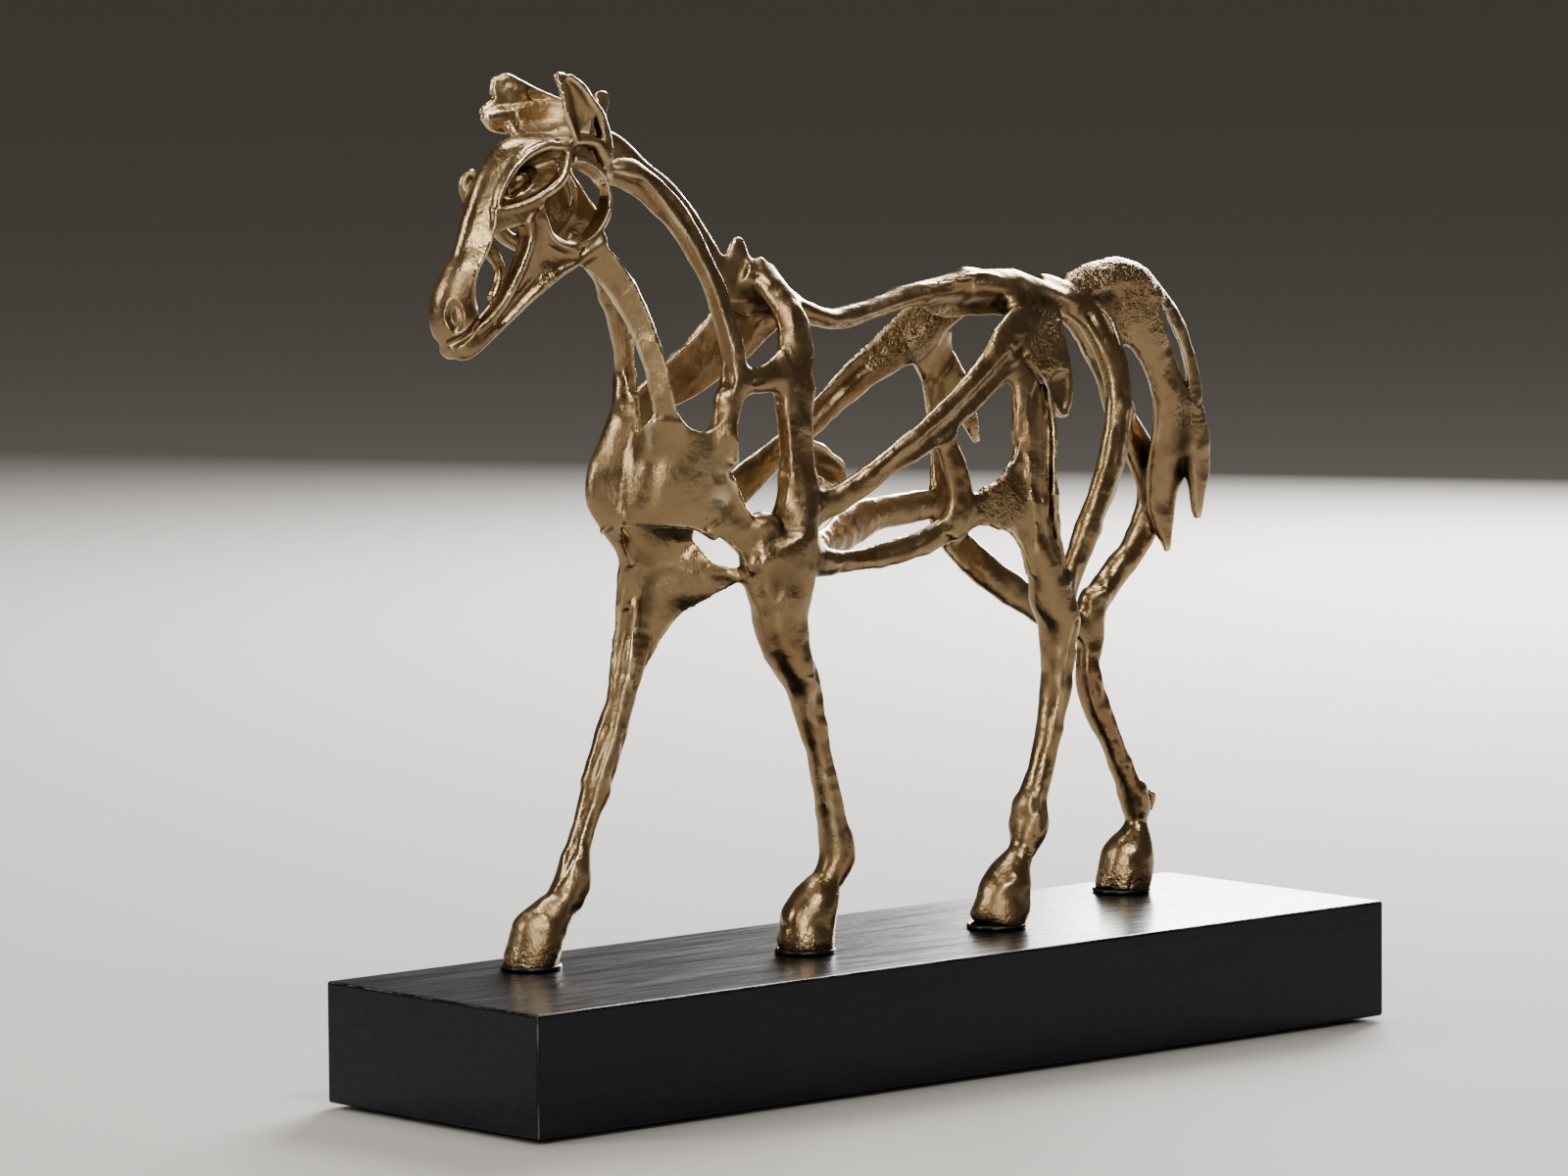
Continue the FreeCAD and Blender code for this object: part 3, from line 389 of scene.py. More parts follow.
sweep([(-114, 12.5, 173, 2.2), (-108, 13.5, 166, 2.4), (-104.5, 14.5, 159, 2.4),
       (-105, 15.5, 150, 2.2), (-105.5, 17, 138, 1.6), (-105.5, 18, 126, 1)], 3)
sweep([(-120.5, 11, 171.5, 1.4), (-119.6, 3, 175.5, 1.5), (-114, -7.5, 175, 1.4),
       (-105, -13, 174.8, 1.4), (-96, -16, 173.6, 1.4), (-88, -18, 169.5, 1.6)], 1)
cut([(-87, -27.6, 206, 2), (-90, -27.4, 196, 4.4), (-88, -27.4, 186, 4.6), (-80, -28, 177, 4),
     (-72, -28.4, 170, 2)], 3)
# near throat ribbon, running down into the chest
patch([
    [(-148.5, -8, 281), (-145, -11, 284), (-141, -13.5, 287.5)],
    [(-136.4, -9.3, 269), (-132.8, -11.5, 272.5), (-128.8, -14.7, 276)],
    [(-127.4, -12, 255.4), (-124, -14.4, 257), (-120.2, -18, 258.6)],
    [(-121.2, -15, 239), (-118, -17.2, 239.5), (-114.2, -20.6, 240)],
    [(-117.4, -15.8, 224), (-114.2, -18, 224), (-110, -20.8, 224)],
    [(-115.2, -13, 213), (-110.4, -15.6, 213), (-104.8, -18, 214)],
    [(-111, -8.5, 203), (-106, -11.5, 203), (-101, -14, 204)]], 2, 5)
# elbow leaf: a small dark cupped lobe
patch([
    [(-44, -20, 204), (-33, -16, 201.5), (-21, -10, 198), (-9, -5, 193)],
    [(-42, -17, 198), (-31, -10, 195), (-19, -4, 191.5), (-7, -3, 188)],
    [(-42, -20, 191), (-32, -16.5, 187.5), (-21, -11, 184), (-10, -6, 182.5)]], 1.5, 2)
sweep([(-42, -20, 204, 1.6), (-32, -15.6, 201.8, 1.6), (-20, -9.6, 197.6, 1.6),
       (-8, -4.4, 191, 1.5), (-9, -6, 183.5, 1.5), (-20, -11, 183.8, 1.6),
       (-31, -17, 187.4, 1.8)], 1)
sweep([(-106, 11, 174, 2.4), (-104, 12.5, 166, 3), (-103, 14, 158, 3), (-102, 16, 149, 2.4)], 4)
# concave web between the forelegs
patch([
    [(-110, 14, 173), (-104, 8, 174), (-97, 1, 174), (-88, -6, 173)],
    [(-108.5, 14.5, 164), (-99, 9, 165), (-91, 4, 165.5), (-83, 0, 166)],
    [(-107.5, 16, 156), (-97, 11, 156), (-88, 4, 156.5), (-79, -7, 157.5)],
    [(-107.5, 17.5, 148), (-97.5, 13, 148), (-88, 5, 148), (-73, -15, 150.5)],
    [(-107, 18.5, 140), (-98.5, 15.5, 139.5), (-91, 11, 139), (-82, 4, 140)],
    [(-107.5, 19.5, 130), (-100.5, 18, 129.5), (-94, 15.5, 129), (-87, 11.5, 130)],
    [(-108.5, 20, 118), (-103, 19.5, 117.5), (-98, 18.5, 117), (-93, 17, 117)],
    [(-109.5, 20, 105), (-106, 20, 104.5), (-102.5, 20, 104), (-99, 19.5, 104)]], 1.6, 2)
sweep([(-80, -6, 155.5, 1.6), (-74, -14, 153, 2.4), (-66, -18, 151, 3.4)], 2)


# ---- neck, shoulders and belly ------------------------------------------
flute((-0.93, -0.3, -0.2), 8.4, 4.8, [
    (-128, -8, 313.5), (-115, -9, 308.5), (-107, -10, 301.5), (-94.5, -13, 286),
    (-85.5, -16, 268.5), (-81, -19, 251.5), (-79, -21, 231.5), (-83, -22, 219.5)])
flute((-0.1, -1, 0.3), 8.2, 4.3, [
    (-112, -9, 308), (-104, -10, 300), (-93, -13, 284), (-84.5, -16, 266.5),
    (-80.5, -19, 250), (-78.5, -21, 231)])
flute((0.1, -1, 0.1), 6.2, 4.2, [
    (-128, 8.5, 280), (-117.5, 10, 267), (-109, 12, 249), (-103.5, 15, 229.5), (-101, 16, 213)])
# shoulder strap: copper face, lit ridge, then a dark hollow face to the rear
flute((-0.15, -1, 0.05), 8.6, 4.8, [
    (-46, -20, 236), (-46.5, -22, 224), (-46.5, -23, 209), (-45.5, -23, 193), (-46, -22, 178)])
flute((-1, -0.1, 0), 9.2, 4.6, [
    (-50, -22, 222), (-51, -23, 209), (-50, -23, 193), (-50.5, -22, 178)])
cut([(-47.5, -29, 234, 2), (-47, -30.5, 229, 3), (-47.5, -30, 223, 2)], 1)
sweep([(-84, -20.5, 224, 4), (-76, -21.5, 228.5, 4), (-66, -22, 229.5, 3.2),
       (-57, -22, 231, 3.2)], 4)
cut([(-73, -27, 229.5, 1.4), (-68.5, -27.5, 230.5, 1.8)], 0.8)
# top of the near foreleg: broad, flowing into the shoulder
sweep([(-66, -21, 171, 7), (-64.5, -20.5, 160, 8.4), (-62, -20, 147, 8.2), (-58, -20, 134, 7.4),
       (-53, -20, 124, 7), (-47, -20, 114, 6.6)], 4)
sweep([(-50, -21, 170, 7), (-51, -21, 155, 8.6), (-52, -21, 141, 7.6), (-49, -20.5, 128, 6.6)], 4)
sweep([(-30, -22.5, 155.5, 4.5), (-42, -21.5, 157, 5.5), (-52, -21, 161, 7)], 3)
sweep([(-29, -15, 161.5, 4), (-40, -19, 161, 4.6), (-50, -21, 164, 6)], 2.5)
cut([(-69, -31.4, 158, 1.2), (-66, -32, 149, 3), (-63, -31.6, 140, 1.4)], 3)
cut([(-42, -28, 113, 1), (-40, -28.4, 104, 2.4), (-38, -27.6, 95, 1)], 2)
# withers: the plate between the tufts and the far shoulder
patch([
    [(-58, 1, 270), (-50, -1, 268), (-44, -3, 264)],
    [(-64, 5, 259), (-52, 5, 257), (-42, 2, 257)],
    [(-72, 12, 246), (-60, 13, 243), (-49, 9, 249)],
    [(-86, 18, 233), (-72, 18, 228), (-60, 15, 236)],
    [(-100, 20, 222), (-90, 20, 214), (-76, 19, 224)]], 1.5, 2)
# ribs, flank and belly bars
flute((-0.45, -0.8, -0.45), 7.8, 4.5, [
    (76, -20, 238), (64, -23, 231), (50, -25, 222), (36, -26.5, 213), (20, -27.5, 204.5),
    (4, -28, 197), (-16, -26.5, 186.5)])
flute((0.2, -1, 0.1), 6.4, 3.8, [
    (26, -27, 202), (30, -28, 192), (33.5, -28, 180), (33, -27, 170)])
flute((-0.3, -0.9, 0.5), 6.4, 3.6, [
    (28, -25.5, 164), (12, -24.5, 159), (-8, -23.5, 156), (-26, -22.5, 155)])
flute((-0.5, -0.8, 0.3), 6, 4, [
    (48, 20, 238), (36, 25, 229), (20, 27, 218), (2, 26, 206), (-16, 24, 196)])
flute((-0.4, -0.9, 0), 6, 4.2, [
    (72, 26, 222), (75, 28, 207), (76, 29, 190), (77, 28.5, 174)])

# ---- hindquarters -------------------------------------------------------
patch([
    [(40, -4, 260), (54, -7, 263.5), (67.5, -8, 264.5), (78, -9, 260.5), (88, -11, 252.5)],
    [(42, 0, 256), (54, -2, 256), (65, -5, 257), (76, -8, 254.5), (87, -12, 249)],
    [(46, 6, 251.5), (56, 6, 247.5), (66, 2, 248), (77, -4, 248), (87, -11, 244)]], 1.3, 2)
patch([
    [(76, -9, 259), (89, -9, 260), (102, -8, 256)],
    [(76, -13, 250), (89, -14.5, 250), (101, -14, 247)],
    [(71, -19, 240), (86, -20.5, 238), (100, -19, 236)],
    [(66, -22, 232), (82, -24, 226), (98, -22, 225)]], 2, 3)
patch([
    [(82, -21, 231), (91, -23, 230), (99.5, -20.5, 230)],
    [(84.5, -22, 224), (92, -21.2, 222.5), (100.5, -22, 222)],
    [(87, -23, 217), (93.5, -21.8, 216), (100.5, -23, 215.5)],
    [(90, -23.3, 211), (95, -22.6, 210.5), (99.5, -23.3, 210.5)],
    [(93.5, -23.5, 206.4), (95.5, -23.5, 206), (97.5, -23.5, 206.4)]], 1.6, 2)
sweep([(44, -6, 262.6, 1.2), (56, -8, 264, 1.3), (67.5, -8.6, 264.5, 1.4), (75, -9.6, 260.5, 1.4),
       (82, -12, 252, 1.4)], 1)
sweep([(104, -7, 256.5, 1.8), (103, -11, 249, 2), (101, -16, 240, 2), (100, -20, 231, 1.9),
       (100, -22.6, 222, 1.6), (99, -23.6, 213, 1.5), (96, -24, 207.5, 1.4)], 1.5)
cut([(90, -28, 226, 1.4), (92.5, -28.4, 220, 3.2), (94, -28.2, 214, 3),
     (94.8, -27.6, 210, 1.8)], 0.7)
pierce([(84.5, -22.5, 221, 0.8), (86.6, -23, 215, 1.5), (89.5, -23.4, 209, 1.6),
        (91, -23.5, 204, 1.6)], 6)
patch([
    [(80, -20, 222), (84.5, -21, 221), (87.5, -23, 219)],
    [(78, -21.5, 206), (83.5, -21.5, 205), (88.5, -24, 205)],
    [(78, -22, 192), (83.5, -22, 192), (88.2, -25, 192)],
    [(78, -22, 178), (83.5, -22, 178), (88, -25, 178)],
    [(82, -21.5, 163), (86, -21.5, 163), (89.5, -24.5, 163)],
    [(87, -21, 148), (90, -21, 148), (93.5, -23.5, 148)]], 1.4, 1)
sweep([(86.5, -24, 219, 1.4), (88.5, -25.5, 205, 1.6), (88.2, -26.5, 192, 1.6),
       (88, -26.5, 178, 1.6), (89.5, -26, 164, 1.6), (93, -25, 150, 1.6), (97.5, -23, 138, 1.8)], 1)
cut([(82.5, -29.5, 219, 1), (83, -30, 206, 2.3), (84, -30.5, 192, 2.3), (83.8, -30.5, 178, 2.2),
     (85.6, -29.5, 165, 2), (89, -28.5, 153, 1.5), (93.5, -26.5, 142, 0.8)], 0.7)
flute((-0.75, -0.66, 0), 8.2, 4.6, [
    (74, -25, 212), (72.5, -26, 196), (73, -26, 180), (76, -25.5, 164), (82, -24.5, 148)])
cut([(66, -26, 236, 1), (74, -27.5, 229, 1.8), (80, -27, 222, 1.2)], 0.8)
patch([
    [(38, -27.5, 176), (49, -27, 179), (57.5, -26.5, 182.5), (64.5, -26, 188.5), (69, -26, 198)],
    [(40, -28.4, 170.5), (51.5, -27.6, 171), (61, -26.8, 172), (69, -26.4, 175), (75, -26, 181)],
    [(42, -27.5, 165.5), (54.5, -26.5, 163.5), (65, -25.5, 159.5), (71.5, -25, 152),
     (76, -24, 143)]], 1.5, 2)
# near buttock: two hollow faces between a middle ridge and lit rims
cut([(130.5, -11, 249.5, 1.4), (134, -17.5, 236, 2.8), (135.6, -22.4, 220, 2.8),
     (134.6, -25, 204, 2.8), (131.6, -26, 190, 2.8), (126.4, -27, 176, 2.6),
     (119, -27.4, 162, 2.4), (111, -27.4, 149, 1.4)], 1)
cut([(122, -13, 245, 1.2), (125.6, -20, 233, 2.2), (127, -23.8, 218, 2.4), (126, -25.6, 203, 2.4),
     (122.6, -26.8, 188, 2.4), (117, -27.8, 174, 2.2), (110, -28, 160, 1.8),
     (104, -27.4, 148, 1)], 1.2)
sweep([(128, -5, 252, 1.3), (136, -8.5, 244.5, 1.4), (138, -12.5, 233, 1.4), (139, -16.5, 219, 1.4),
       (137.5, -18.6, 202, 1.4), (134, -19.6, 189.5, 1.4), (128.6, -20.6, 179, 1.4),
       (122, -21.4, 166, 1.4), (114.6, -22, 154, 1.4), (106, -22, 141, 1.4)], 1)
# tail: a fuller dome, then the slit between the strands, hollow left face
sweep([(119, 0, 253, 4), (131, 1, 259, 5.4), (145, 1.5, 261, 6), (157, 2, 258.5, 7),
       (166, 2, 250, 7.5)], 4)
patch([
    [(146, -3, 254), (156, -4, 252), (166, -3, 249)],
    [(151, -1, 243), (161, -4, 240), (171, -2, 238)],
    [(161, 1, 230), (169, -1, 228), (178, 1, 226)],
    [(170, 3, 216), (176, 1, 214), (183, 3, 212)],
    [(177, 6, 203), (181, 4, 201), (186, 5, 199)],
    [(181, 10, 190), (184, 9, 189), (188, 9, 188)]], 1.8, 4)
patch([
    [(128, 0, 256), (138, -1, 256), (148, -2, 254)],
    [(134, 3, 246), (143, 1, 246), (153, -1, 243)],
    [(142, 6, 236), (150, 3, 234), (161, 1, 230)]], 1.8, 4)
pierce([(172, 2, 250, 0.7), (176, 2, 243, 1.5), (181, 2.5, 236, 1.8), (186, 3, 227, 1.7),
        (190, 3, 217, 1.5), (194, 3, 206, 0.5)], 9)
cut([(180, -4, 196, 2), (183, -2, 184, 3.4), (182.5, 3, 171, 3), (180, 6, 160, 1.4)], 1)

# ---- legs and hooves ----------------------------------------------------
# tops of the legs, blended into the straps above them
trim((-84, -48, 112), (-36, -20, 186), -30)
sweep([(-47.5, -22.5, 186, 4.5), (-49, -23.5, 176, 6.8), (-51, -23.5, 166, 8.6),
       (-52.5, -22.5, 156, 9), (-53, -21.5, 146, 8)], 8)
sweep([(80, -24.5, 152, 4.5), (87, -23, 138, 6), (93, -21.5, 125, 7), (96, -20.5, 110, 6.6)], 5)
cut([(104, -27, 142, 1.6), (104.5, -26, 131, 3.8), (104.5, -25, 118, 4), (103.5, -24, 106, 3),
     (101, -23, 96, 1)], 2.5)
sweep([(171, 21, 139, 4.4), (163.5, 21, 131, 4.8), (157, 21, 124, 5.1), (154.5, 21, 114, 5),
       (153.5, 21, 103, 4.8)], 3)
# hooves
sweep([(-149.6, 21, 14.6, 8.4), (-151, 21.4, 8, 8.6)], 2.5)
sweep([(-43.6, -20, 13.6, 9.2), (-44, -20, 7, 9.4)], 2.5)
sweep([(62, -21, 13.5, 9), (60.6, -21, 7, 9.4)], 2.5)
sweep([(171.5, 21.4, 14, 9.4), (171, 21.5, 7, 9.8)], 2.5)
# fetlocks, and the hollow of each pastern
sweep([(-129.5, 19.6, 40, 5.6), (-130, 19.4, 33, 6.2), (-133, 19.6, 27, 6)], 4)
sweep([(-25.5, -20, 44, 6), (-25, -20, 37, 6.4), (-29, -20, 30, 5.6)], 2)
sweep([(80, -20, 47, 6.8), (81, -20, 40, 6.8), (77.5, -20, 32, 5)], 2)
sweep([(178, 21, 42, 5.6), (179.6, 21, 35, 5.8)], 2)
sweep([(186, 21, 41.5, 1), (188.5, 21, 38.5, 1.7), (187.6, 21, 34, 1)], 0.8)
cut([(-141, 25, 31, 1.4), (-144, 20, 31.5, 2), (-142, 13, 30.5, 1.6)], 2)
cut([(-37, -12, 32.5, 1.6), (-40, -20, 31.5, 2), (-37, -28.5, 29, 1.8)], 1.4)
cut([(66, -12, 31.5, 1.6), (62.5, -20, 32.5, 2.2), (66, -29, 29.5, 2)], 1.4)
cut([(171, 29, 31, 1.6), (168, 21, 32, 2), (171, 12.5, 30, 1.8)], 1.4)
# one channel down the front of each leg, and dents beside it
flute((-0.92, -0.38, 0), 8.4, 2.8, [
    (-97.5, 18, 138), (-100, 19, 122), (-104, 19, 106), (-109, 19.5, 91), (-115.5, 20, 76),
    (-121, 20, 61), (-127, 20, 46), (-130.5, 20, 37)])
flute((-0.1, -1, 0), 8.4, 2.8, [
    (-40.5, -20, 102), (-37, -20, 88), (-33, -20, 74),
    (-30, -20, 61), (-27, -20, 49), (-26, -20, 40)])
flute((-0.05, -1, 0), 8.4, 2.9, [
    (97.5, -21, 122), (98, -20.5, 109), (96, -20, 96), (93, -20, 84), (89.5, -20, 69),
    (85, -20, 57), (81.5, -20, 46), (79.5, -20, 38)])
flute((-0.4, -0.9, 0), 8, 2.8, [
    (151.5, 21, 106), (152, 21, 92), (157, 21, 79), (164, 21, 66), (171, 21, 52), (177, 21, 40)])
DENTS = ((-107, 12, 84, 2.6), (-113, 13, 71, 2.2), (-33, -27.5, 96, 2.6), (-36, -27, 110, 2.4),
         (98, -28, 101, 2.4), (77, -27.5, 52, 2.4), (156, 14, 82, 2.4))
for x, w, h, r in DENTS:
    cut([(x, w, h + 4, r * 0.6), (x, w, h, r), (x, w, h - 5, r * 0.6)], 1.6)


# ---- surface ------------------------------------------------------------
def box_blur(values, radius):
    """Two box passes along each axis, close to a Gaussian."""
    n = max(1, int(round(radius / VOXEL)))
    for axis in range(3):
        for _ in range(2):
            padded = np.pad(values, [(n + 1, n) if i == axis else (0, 0) for i in range(3)], "edge")
            total = np.cumsum(padded, axis=axis, dtype=np.float32)
            size = values.shape[axis]
            upper = np.take(total, np.arange(2 * n + 1, 2 * n + 1 + size), axis=axis)
            lower = np.take(total, np.arange(0, size), axis=axis)
            values = (upper - lower) / (2 * n + 1)
    return values


def sample(values, points):
    """Trilinear values of a dense field at points in millimetres."""
    f = (points - LOW) / VOXEL
    i = np.clip(np.floor(f).astype(int), 0, np.array(SHAPE) - 2)
    t = (f - i).astype(np.float32)
    out = np.zeros(len(points), np.float32)
    for dx in (0, 1):
        for dy in (0, 1):
            for dz in (0, 1):
                weight = (np.where(dx, t[:, 0], 1 - t[:, 0]) * np.where(dy, t[:, 1], 1 - t[:, 1])
                          * np.where(dz, t[:, 2], 1 - t[:, 2]))
                out += weight * values[i[:, 0] + dx, i[:, 1] + dy, i[:, 2] + dz]
    return out


def lumps(size, seed):
    """Smooth random lumps of about this size, over the whole field."""
    cells = np.ceil(np.array(SHAPE) * VOXEL / size).astype(int) + 3
    lattice = np.random.default_rng(seed).uniform(-1, 1, tuple(cells)).astype(np.float32)
    for axis in range(3):
        f = np.arange(SHAPE[axis], dtype=np.float32) * VOXEL / size
        i = f.astype(int)
        t = f - i
        t = t * t * (3 - 2 * t)
        t = t.reshape([-1 if n == axis else 1 for n in range(3)])
        lattice = np.take(lattice, i, axis) * (1 - t) + np.take(lattice, i + 1, axis) * t
    return lattice


# cast skin: soft swellings and creased facets, less of both on the face and breast
axes = [np.arange(SHAPE[i], dtype=np.float32) * VOXEL + LOW[i] for i in range(3)]
X, Y, Z = np.meshgrid(*axes, indexing="ij", sparse=True)
HEIGHT = Z - DECK
smooth_skin = np.clip((-128 - X) / 14, 0, 1) * np.clip((HEIGHT - 225) / 15, 0, 1)
breast = np.clip((-88 - X) / 10, 0, 1) * np.clip((HEIGHT - 160) / 12, 0, 1) * (HEIGHT < 225)
calm = np.maximum(smooth_skin, breast)
field += (0.45 * lumps(11.0, 1) + 0.2 * lumps(4.5, 2)) * (1 - 0.65 * calm)
facet = 0.5 - np.abs(lumps(17.0, 3) + 0.4 * lumps(8.0, 5)) * 1.6
field -= np.clip(facet, -0.4, 0.5) * 0.65 * (1 - 0.9 * calm)
# hammered spots: x, offset from the midline, height over the deck, radius
HAMMERED = [(50, 15, 244, 15), (40, 24, 232, 9), (135, 1, 258, 14), (155, 1, 254, 16),
            (168, 2, 242, 12), (94, -16, 243, 10), (84, -22, 232, 9), (150, 4, 240, 10),
            (-148, 21, 3, 12), (-43, -20, 2, 11), (61, -21, 3, 11), (171, 21, 3, 12),
            (-126, 20, 27, 7), (75, -20, 27, 6), (56, -26, 172, 13), (-183.5, 8, 287, 6),
            (-175.5, -6, 313, 4), (-166, -11, 276, 4), (92, 26, 206, 8), (190, 6, 200, 10)]
rough = np.zeros(SHAPE, np.float32)
for x, w, h, r in HAMMERED:
    spot = np.array(place(x, w, h))
    p, q = window(spot, spot, r * 1.3)
    at = box_slices(p, q)
    away = np.sqrt((axes[0][at[0], None, None] - spot[0]) ** 2
                   + (axes[1][None, at[1], None] - spot[1]) ** 2
                   + (axes[2][None, None, at[2]] - spot[2]) ** 2) / r
    rough[at] = np.maximum(rough[at], np.clip(1.3 - away, 0, 0.6) / 0.6)
field += 0.36 * rough * lumps(2.6, 4)

# how much metal is near a point, close by and farther off
solid = np.clip(0.5 - field / 1.5, 0.0, 1.0).astype(np.float32)
fine = box_blur(solid, 1.4)
broad = box_blur(solid, 5.0)

grid = openvdb.FloatGrid(BAND)
grid.copyFromArray(field, ijk=tuple(int(v) for v in BASE))
grid.transform = openvdb.createLinearTransform(voxelSize=VOXEL)
points, quads = grid.convertToQuads(isovalue=0.0)
points = points.astype(np.float32)
quads = quads.astype(np.int64)

a, b, c, d = (points[quads[:, i]] for i in range(4))
face_normals = np.cross(c - a, d - b)
normals = np.zeros_like(points)
for i in range(4):
    for j in range(3):
        normals[:, j] += np.bincount(quads[:, i], face_normals[:, j], len(points))
normals /= np.linalg.norm(normals, axis=1)[:, None] + 1e-12
hammer = sample(rough, points)
outside = sample(field, points[:2000] + normals[:2000])
if outside.mean() < 0:
    quads = quads[:, ::-1]
    normals = -normals
# convex edges are lightened, partly rubbed wear and partly painted highlight, and places shut in by
# other metal get painted shade
edge_wear_and_highlight = np.clip((0.5 - sample(fine, points)) * 3.2, -1, 1)
hollow_shade = np.clip((sample(broad, points + normals * 1.5) - 0.3) * 3.5, 0, 1)

# each face belongs to the casting with the nearest point of the design
marks, mark_owner = [], []
for number, name in enumerate(CASTINGS):
    spots = node_mesh(name)[0]
    spots = spots[::max(1, len(spots) // MARKS_PER_CASTING)]
    marks.append(spots)
    mark_owner += [number] * len(spots)
tree = KDTree(len(mark_owner))
for i, spot in enumerate(np.concatenate(marks).tolist()):
    tree.insert(spot, i)
tree.balance()
centres = ((a + b + c + d) / 4).tolist()
face_owner = np.array([mark_owner[tree.find(spot)[1]] for spot in centres])
del fine, broad, solid


def attribute(mesh, name, values):
    layer = mesh.attributes.new(name, "FLOAT", "POINT")
    layer.data.foreach_set("value", values.astype(np.float32))


def skin_piece(name, faces, material):
    """One casting's share of the skin, with the skin's own normals."""
    used, corners = np.unique(faces, return_inverse=True)
    corners = corners.reshape(-1).astype(np.int32)
    mesh = bpy.data.meshes.new(name)
    mesh.vertices.add(len(used))
    mesh.vertices.foreach_set("co", (points[used] / 1000.0).astype(np.float32).ravel())
    mesh.loops.add(len(corners))
    mesh.loops.foreach_set("vertex_index", corners)
    mesh.polygons.add(len(faces))
    mesh.polygons.foreach_set("loop_start", np.arange(0, len(corners), 4, dtype=np.int32))
    mesh.update(calc_edges=True)
    mesh.validate()
    mesh.shade_smooth()
    mesh.normals_split_custom_set_from_vertices(normals[used].tolist())
    # the attributes carry edge wear with painted highlight, and painted shade in shut-in places
    attribute(mesh, "edge_wear_and_highlight", edge_wear_and_highlight[used])
    attribute(mesh, "hollow_shade", hollow_shade[used])
    attribute(mesh, "hammer", hammer[used])
    mesh.materials.append(material)
    piece = bpy.data.objects.new(name, mesh)
    bpy.context.collection.objects.link(piece)
    return piece


# ---- materials ----------------------------------------------------------
class Nodes:
    """A short way to write node trees."""

    def __init__(self, name):
        self.material = bpy.data.materials.new(name)
        self.material.use_nodes = True
        self.tree = self.material.node_tree
        self.shader = self.tree.nodes["Principled BSDF"]
        self.place = self.add("ShaderNodeTexCoord").outputs["Object"]

    def add(self, kind, **settings):
        node = self.tree.nodes.new(kind)
        for key, value in settings.items():
            setattr(node, key, value)
        return node

    def link(self, a, b):
        self.tree.links.new(a, b)

    def put(self, socket, value):
        if hasattr(value, "is_output"):
            self.link(value, socket)
        else:
            socket.default_value = value

    def scaled(self, x, y, z):
        node = self.add("ShaderNodeMapping")
        self.link(self.place, node.inputs["Vector"])
        node.inputs["Scale"].default_value = (x, y, z)
        return node.outputs[0]

    def noise(self, scale, detail=3.0, rough=0.5, vector=None, distort=0.0):
        node = self.add("ShaderNodeTexNoise")
        node.inputs["Scale"].default_value = scale
        node.inputs["Detail"].default_value = detail
        node.inputs["Roughness"].default_value = rough
        node.inputs["Distortion"].default_value = distort
        self.link(vector or self.place, node.inputs["Vector"])
        return node.outputs["Fac"]

    def math(self, operation, a, b=0.0, clamp=False):
        node = self.add("ShaderNodeMath", operation=operation, use_clamp=clamp)
        self.put(node.inputs[0], a)
        self.put(node.inputs[1], b)
        return node.outputs[0]

    def ramp(self, value, low, high, out_low=0.0, out_high=1.0):
        node = self.add("ShaderNodeMapRange", interpolation_type="SMOOTHSTEP")
        self.put(node.inputs["Value"], value)
        node.inputs["From Min"].default_value = low
        node.inputs["From Max"].default_value = high
        node.inputs["To Min"].default_value = out_low
        node.inputs["To Max"].default_value = out_high
        return node.outputs["Result"]

    def mix(self, factor, a, b, blend="MIX"):
        node = self.add("ShaderNodeMix", data_type="RGBA", blend_type=blend)
        self.put(node.inputs[0], factor)
        self.put(node.inputs[6], a)
        self.put(node.inputs[7], b)
        return node.outputs[2]

    def value(self, name):
        return self.add("ShaderNodeAttribute", attribute_name=name).outputs["Fac"]

    def bump(self, height, strength, distance, normal=None):
        node = self.add("ShaderNodeBump")
        node.inputs["Strength"].default_value = strength
        node.inputs["Distance"].default_value = distance
        self.link(height, node.inputs["Height"])
        if normal is not None:
            self.link(normal, node.inputs["Normal"])
        return node.outputs["Normal"]


